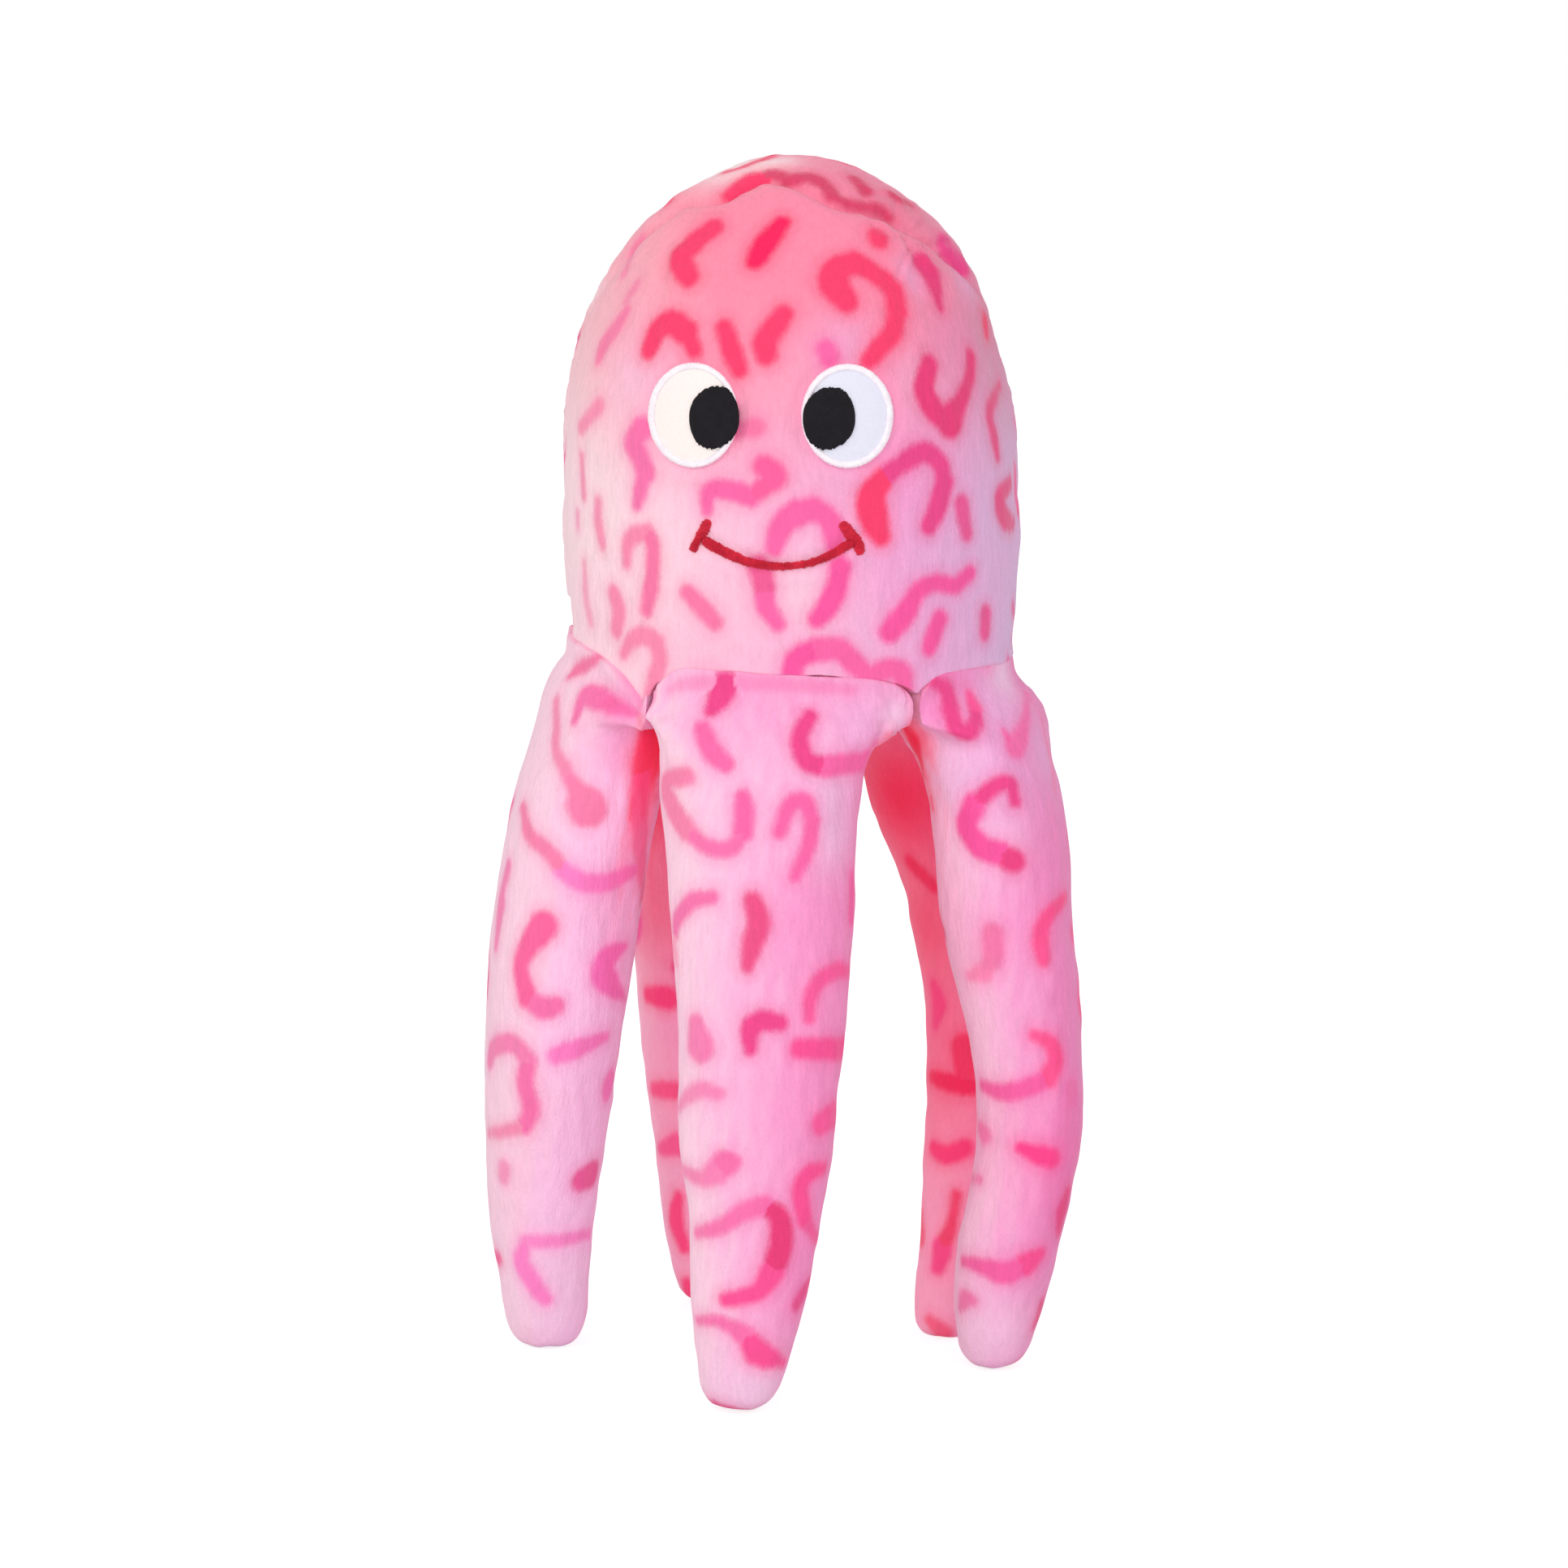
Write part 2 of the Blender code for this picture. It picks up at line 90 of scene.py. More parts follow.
# Colours, sRGB 0 to 255
CREAM = (249, 219, 225)
PALE_CREAM = (254, 238, 238)
# Painted shade: a cool lilac on cloth that turns away from the key lamp
PAINTED_SHADE_LILAC = (226, 172, 214)
SALMON = (248, 134, 162)
# Painted shade in the crown's gathered wrinkles
PAINTED_GATHER_SHADE = (218, 122, 148)
HOT_PINK = (243, 138, 194)
MIST = (240, 206, 230)
ROSE_PINK = (236, 104, 166)
REAR_SALMON = (250, 132, 162)
REAR_PINK = (250, 180, 206)
# Painted shade: the crimson that cloth takes where other cloth closes in on it, between the
# tentacles
PAINTED_SHADE_RED = (250, 56, 98)
PRINT = {
    "scarlet": (242, 34, 92),
    "cerise": (230, 41, 116),
    "dusky": (212, 54, 95),
    "crimson": (250, 57, 124),
    "garnet": (229, 62, 120),
    "ruby": (242, 64, 108),
    "carmine": (248, 69, 139),
    "raspberry": (232, 72, 137),
    "fuchsia": (245, 82, 147),
    "rose": (242, 87, 157),
    "pink": (242, 101, 163),
    "blush": (242, 118, 162),
    "orchid": (252, 122, 195),
    "pale": (245, 137, 172),
    "salmon": (242, 122, 146),
    # Painted shade: crimson on a tentacle's flank where it turns into a shadowed gap
    "deep": (240, 40, 84),
}
# Painted light on the eye cloth: a warm lit copy for the left side and a cool shaded one for the
# right
EYE_CLOTH_PAINTED_LIT = (247, 236, 232)
EYE_CLOTH_PAINTED_SHADE = (226, 226, 240)
EYE_THREAD = (250, 245, 249)

HEAD = "head"
FRONT = "tentacle_front"
LEFT = "tentacle_left"
RIGHT = "tentacle_right"
REAR_LEFT = "tentacle_rear_left"
REAR_RIGHT = "tentacle_rear_right"
TENTACLES = (FRONT, LEFT, RIGHT, REAR_LEFT, REAR_RIGHT)

# Marks that the photograph shows, and a few strokes of painted shade: tone, strength, and a path of
# (x, y, width) in pixels
MARKS = {
    HEAD: (
        ("ruby", 1.0, (878, 281, 25), (852, 302, 30), (838, 318, 30), (849, 342, 25)),
        ("scarlet", 1.0, (963, 275, 20), (944, 299, 27), (931, 321, 22)),
        ("ruby", 1.0, (901, 241, 21), (922, 226, 24), (941, 221, 21)),
        ("dusky", 0.9, (936, 222, 18), (952, 215, 18), (972, 222, 16)),
        ("dusky", 0.9, (968, 224, 16), (993, 218, 19), (1014, 226, 19), (1026, 241, 19)),
        ("dusky", 0.9, (1026, 241, 15), (1051, 253, 15), (1081, 257, 15), (1094, 268, 13)),
        ("ruby", 1.0, (1042, 370, 29), (1028, 350, 36), (1031, 332, 30), (1054, 324, 29)),
        ("ruby", 1.0, (1054, 324, 25), (1081, 339, 25), (1100, 358, 26), (1106, 382, 26)),
        ("ruby", 1.0, (1106, 382, 23), (1100, 410, 24), (1084, 428, 23), (1072, 443, 21)),
        ("ruby", 1.0, (1083, 290, 24), (1083, 295, 24)),
        ("garnet", 1.0, (1136, 324, 26), (1149, 345, 24), (1158, 379, 11)),
        ("raspberry", 1.0, (1167, 302, 29), (1185, 324, 31)),
        ("scarlet", 0.9, (1213, 391, 15), (1216, 413, 12)),
        ("garnet", 1.0, (1145, 449, 24), (1139, 480, 28), (1154, 508, 28), (1170, 519, 24)),
        ("garnet", 1.0, (1170, 519, 38), (1182, 498, 24), (1193, 471, 19), (1196, 440, 19)),
        ("garnet", 0.9, (1231, 476, 13), (1220, 506, 18), (1225, 537, 18), (1229, 562, 13)),
        ("ruby", 1.0, (800, 431, 24), (812, 406, 29), (827, 397, 29), (846, 410, 29)),
        ("ruby", 1.0, (846, 410, 22), (855, 431, 20)),
        ("ruby", 1.0, (892, 403, 19), (901, 431, 23), (910, 455, 21)),
        ("ruby", 1.0, (965, 388, 23), (944, 419, 28), (944, 437, 25)),
        ("pink", 1.0, (1018, 430, 22), (1022, 440, 24)),
        ("blush", 0.9, (772, 382, 14), (760, 402, 20), (744, 426, 22), (738, 442, 15)),
        ("blush", 0.7, (791, 296, 14), (777, 318, 15), (769, 338, 12)),
        ("blush", 0.7, (784, 350, 13), (772, 370, 12)),
        ("pink", 0.9, (791, 528, 27), (780, 545, 27), (789, 564, 27), (795, 583, 27)),
        ("pink", 0.9, (795, 583, 23), (789, 602, 21), (785, 621, 16)),
        ("blush", 1.0, (909, 531, 19), (931, 526, 21)),
        ("dusky", 0.9, (1054, 220, 16), (1066, 235, 19)),
        ("dusky", 0.9, (1100, 240, 13), (1118, 250, 15)),
        ("pale", 0.9, (716, 526, 18), (737, 501, 21)),
        ("blush", 0.8, (717, 562, 11), (719, 610, 13)),
        ("pale", 0.9, (737, 619, 16), (737, 644, 18), (743, 671, 14)),
        ("pink", 0.6, (712, 633, 11), (712, 648, 11)),
        ("pale", 1.0, (772, 694, 14), (774, 671, 20), (781, 660, 21), (797, 656, 21)),
        ("blush", 1.0, (797, 656, 21), (804, 671, 20), (804, 698, 20), (802, 725, 20)),
        ("blush", 1.0, (802, 725, 23), (797, 751, 18)),
        ("pale", 0.7, (720, 694, 11), (722, 736, 14), (728, 767, 11)),
        ("pale", 1.0, (756, 732, 21), (762, 751, 22), (760, 776, 21)),
        ("blush", 1.0, (848, 730, 19), (867, 751, 22), (881, 767, 18)),
        ("rose", 0.9, (871, 629, 14), (875, 606, 21), (898, 604, 23), (925, 612, 23)),
        ("fuchsia", 0.9, (925, 612, 21), (944, 598, 23), (954, 587, 29), (942, 575, 26)),
        ("rose", 0.9, (954, 675, 21), (961, 652, 27), (977, 635, 30), (1002, 627, 27)),
        ("rose", 0.9, (1002, 627, 25), (1021, 640, 25), (1028, 660, 25), (1030, 675, 23)),
        ("raspberry", 0.9, (936, 698, 27), (942, 725, 26)),
        ("pink", 1.0, (942, 725, 24), (945, 748, 23), (959, 769, 17)),
        ("rose", 1.0, (1036, 698, 24), (1030, 725, 25), (1019, 748, 25), (1007, 763, 20)),
        ("ruby", 1.0, (1085, 660, 24), (1076, 637, 34), (1074, 610, 32), (1090, 588, 25)),
        ("raspberry", 1.0, (1090, 588, 25), (1116, 568, 20)),
        ("raspberry", 1.0, (1116, 568, 24), (1139, 557, 24), (1158, 572, 24), (1164, 595, 24)),
        ("raspberry", 1.0, (1164, 595, 27), (1157, 621, 27), (1145, 648, 22)),
        ("raspberry", 0.9, (1185, 621, 22), (1191, 656, 20)),
        ("garnet", 0.9, (1244, 596, 19), (1232, 617, 26), (1240, 640, 26), (1248, 645, 18)),
        ("rose", 1.0, (1097, 778, 26), (1116, 755, 26), (1132, 728, 21), (1154, 717, 20)),
        ("rose", 1.0, (1154, 717, 20), (1177, 721, 20), (1195, 706, 19)),
        ("rose", 1.0, (1158, 763, 22), (1145, 797, 21)),
        ("raspberry", 0.9, (1214, 757, 22), (1214, 780, 19)),
        ("raspberry", 0.9, (1248, 748, 14), (1252, 780, 16)),
        ("raspberry", 0.8, (1252, 812, 11), (1252, 817, 11)),
        ("rose", 1.0, (962, 855, 22), (975, 832, 24), (982, 812, 25), (1006, 800, 26)),
        ("pink", 1.0, (1006, 800, 27), (1034, 801, 26), (1054, 819, 24), (1072, 834, 24)),
        ("pink", 1.0, (1072, 834, 25), (1098, 824, 24), (1113, 834, 24), (1110, 860, 20)),
        ("pale", 1.0, (769, 804, 16), (779, 788, 20), (795, 783, 22), (809, 792, 22)),
        ("pale", 1.0, (809, 792, 22), (813, 815, 21), (807, 837, 21), (804, 858, 19)),
    ),
    LEFT: (
        ("blush", 1.0, (739, 809, 12), (726, 817, 16), (712, 825, 18), (702, 833, 10)),
        ("pink", 0.9, (708, 888, 12), (719, 860, 23), (731, 858, 30), (755, 870, 23)),
        ("pink", 0.9, (755, 870, 22), (784, 879, 8)),
        ("blush", 0.8, (685, 862, 13), (686, 893, 16), (685, 924, 16), (698, 952, 19)),
        ("blush", 0.9, (698, 952, 14), (714, 978, 26), (722, 992, 42), (724, 996, 42)),
        ("blush", 0.9, (644, 995, 15), (652, 1028, 19), (675, 1049, 19), (693, 1072, 19)),
        ("orchid", 0.9, (693, 1072, 22), (718, 1087, 22), (749, 1087, 22), (782, 1072, 18)),
        ("pink", 0.8, (626, 1067, 16), (619, 1097, 19), (617, 1118, 19), (611, 1166, 13)),
        ("fuchsia", 0.9, (669, 1141, 34), (650, 1167, 26), (641, 1192, 22), (650, 1229, 26)),
        ("pink", 0.9, (650, 1229, 22), (669, 1242, 26), (684, 1239, 22)),
        ("orchid", 1.0, (770, 1166, 10), (750, 1180, 29), (745, 1200, 34), (755, 1216, 26)),
        ("orchid", 1.0, (755, 1216, 25), (770, 1230, 9)),
        ("orchid", 0.9, (687, 1300, 22), (717, 1290, 22), (746, 1278, 14)),
        ("pink", 0.8, (603, 1308, 19), (610, 1290, 23), (632, 1286, 23), (650, 1307, 23)),
        ("pink", 0.9, (650, 1307, 21), (647, 1337, 22), (654, 1366, 21), (646, 1388, 19)),
        ("blush", 0.8, (646, 1388, 17), (621, 1394, 16), (603, 1396, 13)),
        ("orchid", 0.9, (752, 1325, 16), (750, 1337, 26), (748, 1350, 16)),
        ("pink", 0.6, (621, 1438, 18), (620, 1450, 18)),
        ("pink", 1.0, (718, 1453, 29), (728, 1447, 32)),
        ("orchid", 0.8, (724, 1521, 14), (687, 1529, 16), (648, 1530, 17)),
        ("orchid", 0.9, (648, 1530, 13), (642, 1555, 21), (656, 1581, 21), (672, 1601, 16)),
        # Painted shade: the next two strokes run crimson down the left tentacle's right edge, in
        # the valley next to the front tentacle
        ("ruby", 0.80, (797, 905, 18), (793, 930, 26), (791, 950, 26)),
        ("fuchsia", 0.70, (791, 950, 26), (790, 1000, 26), (790, 1050, 24), (793, 1105, 18)),
        ("salmon", 0.70, (789, 884, 8), (791, 898, 11)),
    ),
    FRONT: (
        ("raspberry", 1.0, (894, 844, 30), (886, 860, 28), (877, 875, 17)),
        ("pink", 0.95, (866, 898, 20), (876, 924, 24), (894, 942, 20)),
        ("blush", 0.9, (846, 957, 22), (820, 964, 23), (828, 995, 26), (846, 1023, 26)),
        ("pink", 0.9, (846, 1023, 19), (871, 1043, 19), (899, 1046, 19), (915, 1026, 19)),
        ("rose", 0.9, (915, 1026, 23), (917, 1000, 23), (915, 982, 18)),
        ("pink", 0.9, (877, 1106, 16), (852, 1111, 20), (835, 1132, 20), (832, 1149, 16)),
        ("crimson", 0.5, (832, 1149, 13), (828, 1187, 10)),
        ("garnet", 0.9, (927, 1110, 21), (935, 1136, 26), (928, 1161, 24), (921, 1190, 16)),
        ("raspberry", 1.0, (998, 883, 18), (986, 908, 21), (993, 936, 23), (1016, 945, 24)),
        ("pink", 1.0, (1016, 945, 25), (1044, 941, 24), (1077, 939, 22)),
        ("fuchsia", 0.75, (1079, 928, 6), (1096, 917, 10), (1115, 901, 10), (1129, 890, 10)),
        ("salmon", 0.9, (1084, 934, 8), (1100, 930, 11), (1118, 919, 13), (1136, 908, 13)),
        ("pink", 1.0, (960, 1026, 16), (973, 993, 20), (991, 987, 20), (1001, 1010, 20)),
        ("pink", 1.0, (1001, 1010, 19), (996, 1044, 19), (980, 1079, 15)),
        ("rose", 0.9, (1057, 1079, 14), (1056, 1100, 16), (1054, 1132, 16)),
        ("pink", 0.8, (857, 1262, 24), (862, 1288, 38)),
        ("raspberry", 1.0, (925, 1292, 16), (925, 1268, 23), (939, 1258, 24), (960, 1260, 20)),
        ("fuchsia", 0.9, (997, 1254, 15), (999, 1229, 18), (1011, 1208, 19), (1032, 1195, 19)),
        ("fuchsia", 0.9, (1032, 1195, 19), (1051, 1197, 16)),
        ("fuchsia", 1.0, (986, 1292, 23), (1045, 1293, 26)),
        ("pink", 0.7, (833, 1368, 13), (847, 1351, 18), (864, 1343, 20), (885, 1347, 16)),
        ("fuchsia", 0.9, (1012, 1384, 27), (1030, 1372, 32)),
        ("rose", 0.7, (843, 1443, 16), (864, 1452, 19), (883, 1443, 29)),
        ("pink", 0.9, (883, 1443, 20), (893, 1434, 29), (906, 1431, 15)),
        ("rose", 0.8, (860, 1519, 15), (889, 1511, 19), (915, 1494, 21), (940, 1486, 24)),
        ("garnet", 1.0, (940, 1486, 18), (960, 1500, 24), (962, 1536, 28), (952, 1566, 26)),
        ("fuchsia", 1.0, (952, 1566, 29), (936, 1590, 22), (915, 1598, 20), (894, 1602, 17)),
        ("carmine", 0.9, (1015, 1439, 16), (995, 1448, 21), (986, 1469, 22), (992, 1502, 22)),
        ("fuchsia", 0.9, (992, 1502, 17), (1007, 1528, 14)),
        ("pink", 0.9, (860, 1627, 12), (889, 1629, 15), (919, 1646, 23)),
        ("fuchsia", 1.0, (919, 1646, 20), (936, 1668, 29), (965, 1679, 13)),
        # Painted shade: a faint pink band under the head along the front of the hem
        ("pink", 0.45, (826, 850, 9), (853, 842, 15), (945, 842, 17), (1000, 845, 15),
         (1050, 850, 12)),
    ),
    RIGHT: (
        ("raspberry", 1.0, (1147, 838, 14), (1166, 850, 20), (1172, 876, 21), (1178, 897, 21)),
        ("raspberry", 1.0, (1178, 897, 20), (1191, 904, 20), (1202, 890, 19), (1201, 873, 17)),
        ("carmine", 0.9, (1201, 873, 18), (1195, 857, 12)),
        ("pink", 0.9, (1266, 855, 10), (1264, 886, 14), (1256, 914, 26), (1249, 921, 26)),
        ("rose", 0.9, (1249, 921, 20), (1238, 902, 8)),
        ("blush", 0.7, (1283, 878, 6), (1289, 913, 10), (1296, 941, 10), (1299, 970, 8)),
        ("raspberry", 1.0, (1251, 987, 15), (1244, 965, 18), (1222, 972, 20), (1200, 992, 20)),
        ("rose", 1.0, (1200, 992, 27), (1191, 1018, 27), (1208, 1043, 27), (1232, 1052, 27)),
        ("cerise", 0.9, (1232, 1052, 24), (1249, 1061, 27)),
        ("crimson", 0.8, (1313, 1105, 15), (1289, 1133, 20), (1282, 1158, 22), (1286, 1182, 18)),
        ("cerise", 0.5, (1223, 1150, 24), (1223, 1180, 24), (1212, 1198, 15)),
        ("carmine", 0.5, (1212, 1198, 22), (1195, 1203, 14)),
        ("crimson", 0.8, (1276, 1276, 14), (1296, 1287, 19), (1301, 1309, 22), (1290, 1329, 23)),
        ("rose", 0.9, (1290, 1329, 22), (1264, 1341, 21), (1236, 1346, 21), (1211, 1338, 16)),
        ("rose", 0.4, (1320, 1340, 24), (1322, 1352, 24)),
        ("rose", 0.7, (1208, 1391, 19), (1213, 1398, 22)),
        ("carmine", 1.0, (1258, 1414, 14), (1280, 1423, 22), (1296, 1427, 23)),
        ("rose", 0.7, (1195, 1452, 14), (1207, 1454, 10)),
        ("cerise", 0.9, (1315, 1470, 17), (1309, 1492, 24), (1306, 1515, 17)),
        ("rose", 0.9, (1187, 1554, 14), (1215, 1562, 20), (1240, 1568, 27), (1264, 1558, 22)),
        ("carmine", 0.9, (1264, 1558, 28), (1281, 1546, 17)),
        ("pink", 0.8, (1183, 1611, 13), (1190, 1600, 21), (1198, 1602, 13)),
        ("cerise", 0.8, (1283, 1607, 18), (1280, 1619, 22), (1276, 1631, 16)),
        # Painted shade: crimson on the right tentacle's left flank, where it turns into the gap by
        # the front tentacle
        ("deep", 0.95, (1119, 903, 16), (1126, 916, 24), (1133, 934, 16), (1137, 955, 10)),
        ("deep", 0.80, (1137, 955, 10), (1142, 985, 6), (1144, 1010, 6)),
    ),
    REAR_RIGHT: (
        ("scarlet", 0.8, (1121, 1062, 18), (1150, 1092, 18)),
        ("carmine", 0.8, (1150, 1215, 17), (1156, 1237, 24), (1152, 1262, 15)),
        ("scarlet", 0.8, (1186, 1290, 30), (1190, 1318, 30)),
        ("scarlet", 0.9, (1148, 1327, 16), (1170, 1334, 22), (1196, 1338, 22)),
        ("crimson", 0.9, (1150, 1414, 18), (1166, 1423, 22), (1188, 1415, 22)),
        ("ruby", 0.9, (1178, 1472, 13), (1172, 1509, 15), (1160, 1537, 24)),
        ("carmine", 0.9, (1160, 1537, 26), (1156, 1560, 20)),
        ("scarlet", 0.7, (1135, 1500, 19), (1135, 1527, 19)),
        ("scarlet", 0.7, (1145, 1627, 13), (1162, 1644, 22), (1170, 1656, 17)),
    ),
    REAR_LEFT: (
        ("crimson", 0.9, (800, 1226, 21), (822, 1230, 27)),
        ("crimson", 0.8, (806, 1342, 18), (830, 1344, 21)),
        ("carmine", 0.8, (815, 1416, 17), (833, 1410, 25)),
        ("crimson", 0.9, (836, 1474, 14), (832, 1503, 22), (843, 1537, 15)),
        ("crimson", 0.9, (846, 1582, 16), (850, 1610, 22)),
    ),
}

# Soft washes of colour in the cloth: colour, centre and radius in pixels, strength. The crimson,
# lilac and gather-shade washes are painted shade.
WASHES = {
    HEAD: (
        (SALMON, 990, 340, 50, 0.30),
        (PAINTED_GATHER_SHADE, 1110, 250, 40, 0.55),
        (PAINTED_GATHER_SHADE, 1140, 285, 36, 0.55),
        (PAINTED_GATHER_SHADE, 1060, 215, 30, 0.35),
        (PAINTED_SHADE_LILAC, 1125, 340, 26, 0.45),
        (PAINTED_SHADE_LILAC, 1190, 350, 26, 0.45),
        (HOT_PINK, 800, 440, 60, 0.25),
        (HOT_PINK, 1180, 430, 60, 0.25),
        (HOT_PINK, 1130, 600, 50, 0.30),
        (CREAM, 990, 735, 40, 0.30),
        (PALE_CREAM, 905, 206, 48, 0.95),
        (PALE_CREAM, 955, 198, 30, 0.60),
        (CREAM, 735, 360, 26, 0.60),
        (MIST, 780, 470, 40, 0.35),
        (PAINTED_SHADE_LILAC, 1040, 425, 40, 0.45),
        (MIST, 1135, 470, 26, 0.45),
        (MIST, 1085, 795, 36, 0.30),
    ),
    LEFT: (
        (HOT_PINK, 740, 1100, 50, 0.20),
        (MIST, 690, 1600, 75, 0.60),
        (HOT_PINK, 772, 872, 40, 0.75),
        (HOT_PINK, 760, 930, 36, 0.45),
        (PAINTED_SHADE_RED, 796, 935, 24, 0.50),
    ),
    FRONT: (
        (HOT_PINK, 1000, 1140, 75, 0.45),
        (HOT_PINK, 990, 1350, 75, 0.40),
        (HOT_PINK, 990, 1560, 60, 0.50),
        (MIST, 930, 1725, 60, 0.80),
        (MIST, 1020, 1030, 45, 0.50),
        (MIST, 1025, 960, 40, 0.45),
        (HOT_PINK, 900, 860, 60, 0.25),
        (PAINTED_SHADE_LILAC, 1060, 890, 40, 0.45),
        (MIST, 1104, 882, 26, 0.60),
        (PAINTED_SHADE_LILAC, 1020, 1000, 40, 0.35),
    ),
    RIGHT: (
        (HOT_PINK, 1280, 1120, 60, 0.30),
        (HOT_PINK, 1220, 1170, 50, 0.40),
        (ROSE_PINK, 1320, 1420, 80, 0.70),
        (HOT_PINK, 1265, 1400, 60, 0.35),
        (MIST, 1230, 1650, 65, 0.60),
        (MIST, 1168, 950, 40, 0.60),
        (PAINTED_SHADE_LILAC, 1290, 930, 45, 0.60),
        (MIST, 1225, 1040, 45, 0.40),
        (HOT_PINK, 1150, 880, 25, 0.80),
        (PAINTED_SHADE_LILAC, 1230, 870, 60, 0.70),
        (MIST, 1235, 830, 34, 0.70),
        (HOT_PINK, 1176, 834, 24, 0.60),
        (PAINTED_SHADE_LILAC, 1240, 960, 60, 0.45),
        (PAINTED_SHADE_LILAC, 1190, 960, 40, 0.45),
    ),
    REAR_RIGHT: (
        (REAR_SALMON, 1165, 1300, 200, 0.95),
        (REAR_PINK, 1155, 1560, 130, 0.95),
        (PAINTED_SHADE_RED, 1110, 980, 120, 0.95),
        (PAINTED_SHADE_RED, 1140, 1140, 70, 0.60),
    ),
    REAR_LEFT: (
        (PAINTED_SHADE_RED, 800, 960, 120, 0.95),
        (SALMON, 810, 1120, 110, 0.95),
        (REAR_PINK, 830, 1370, 150, 0.95),
        (REAR_PINK, 845, 1580, 110, 0.95),
    ),
}

# Sewn lines that the photograph shows, in pixels
CROWN_SEAM = (
    (842, 253), (892, 244), (937, 222), (976, 228), (999, 239), (1032, 253), (1060, 258),
    (1091, 267),
)
LEFT_DART = ((823, 286), (817, 334), (811, 373), (812, 392))
RIGHT_DART = ((1095, 270), (1118, 303), (1140, 342))
GATHER_POINT = (1122, 292)
FOLDS = {
    LEFT: (((736, 862), (760, 868), (786, 876)),),
    FRONT: (
        ((1126, 854), (1123, 875), (1128, 889), (1133, 900)),
        ((1079, 927), (1096, 916), (1115, 900), (1129, 889)),
    ),
}


def srgb(colour):
    """Linear values of an sRGB colour of 0 to 255."""
    made = []
    for value in colour:
        value = value / 255
        made.append(value / 12.92 if value <= 0.04045 else ((value + 0.055) / 1.055) ** 2.4)
    return np.array(made)


def smooth_step(share):
    share = np.clip(share, 0.0, 1.0)
    return share * share * (3 - 2 * share)


def ramp(values, start, width):
    """0 before start, 1 beyond start + width, smooth between. A negative width runs down."""
    return smooth_step((values - start) / width)


def hill(offset, width):
    return np.exp(-((offset / width) ** 2))


# Meshes as arrays


def points_of(piece):
    values = np.empty(len(piece.data.vertices) * 3, np.float32)
    piece.data.vertices.foreach_get("co", values)
    return values.reshape(-1, 3).astype(float)


def normals_of(piece):
    values = np.empty(len(piece.data.vertices) * 3, np.float32)
    piece.data.vertex_normals.foreach_get("vector", values)
    return values.reshape(-1, 3).astype(float)


def move_points(piece, places):
    piece.data.vertices.foreach_set("co", places.astype(np.float32).ravel())
    piece.data.update()


def store(piece, name, values):
    """Keeps values on the vertices: one number each, or a colour each."""
    kind = "FLOAT" if values.ndim == 1 else "FLOAT_COLOR"
    layer = piece.data.attributes.get(name) or piece.data.attributes.new(name, kind, "POINT")
    if values.ndim == 1:
        layer.data.foreach_set("value", values.astype(np.float32))
    else:
        full = np.column_stack((values, np.ones(len(values))))
        layer.data.foreach_set("color", full.astype(np.float32).ravel())


def stored(piece, name):
    values = np.empty(len(piece.data.vertices), np.float32)
    piece.data.attributes[name].data.foreach_get("value", values)
    return values.astype(float)


def settle(piece):
    """Applies a piece's modifiers to its mesh."""
    graph = bpy.context.evaluated_depsgraph_get()
    made = bpy.data.meshes.new_from_object(piece.evaluated_get(graph))
    old = piece.data
    piece.modifiers.clear()
    piece.data = made
    bpy.data.meshes.remove(old)
    made.name = piece.name


def tree_of(piece):
    bpy.context.view_layer.update()
    return BVHTree.FromObject(piece, bpy.context.evaluated_depsgraph_get())


# Paths

PATH_STEP = 4.0  # pixels
OUTSIDE = 0.2  # metres from the axis, clear of the toy
NEAR_SIGHT = np.linspace(0.90, 1.06, 17)  # where along a sight line the nearest cloth is sought


def resampled(points, step):
    """Points at about equal steps along a smooth curve through the given rows of numbers."""
    rows = np.array(points, float)
    if len(rows) == 1:
        return rows
    padded = np.vstack((2 * rows[0] - rows[1], rows, 2 * rows[-1] - rows[-2]))
    made = []
    for a, b, c, d in zip(padded, padded[1:], padded[2:], padded[3:]):
        count = max(int(np.linalg.norm((c - b)[:2]) / step), 1)
        t = (np.arange(count) / count)[:, None]
        square = 2 * a - 5 * b + 4 * c - d
        cube = 3 * b - a - 3 * c + d
        made.append(0.5 * (2 * b + (c - a) * t + square * t**2 + cube * t**3))
    made.append(rows[-1:])
    return np.vstack(made)


def sight_line(x, y):
    """The direction from the photograph's camera through a pixel."""
    ahead = AIM - EYE
    right = Vector((1, 0, 0))
    up = right.cross(ahead).normalized()
    middle = PHOTO_SIZE / 2
    return (ahead + right * (x - middle) * PIXEL - up * (y - middle) * PIXEL).normalized()


def seen_place(tree, x, y):
    """The place and normal of the cloth behind a pixel. Past the outline, the nearest cloth."""
    direction = sight_line(x, y)
    place, normal, _, _ = tree.ray_cast(EYE, direction)
    if place is None:
        nearest = []
        for away in NEAR_SIGHT:
            found = tree.find_nearest(EYE + direction * away)
            nearest.append((found[3], found[0], found[1]))
        _, place, normal = min(nearest, key=lambda item: item[0])
    return place, normal


def laid(tree, points, step=PATH_STEP):
    """Places on the cloth along a path of pixels, with the path's further numbers if any."""
    rows = resampled(points, step)
    places = np.array([seen_place(tree, row[0], row[1])[0] for row in rows])
    return places, rows[:, 2:]


def wall_place(tree, azimuth, height):
    """The place of the cloth at an azimuth round the toy's axis, at a height."""
    turn = math.radians(azimuth)
    out = Vector((math.sin(turn), -math.cos(turn), 0))
    level = Vector((AXIS.x, AXIS.y, height))
    return tree.ray_cast(level + out * OUTSIDE, -out)[0]


# Padding

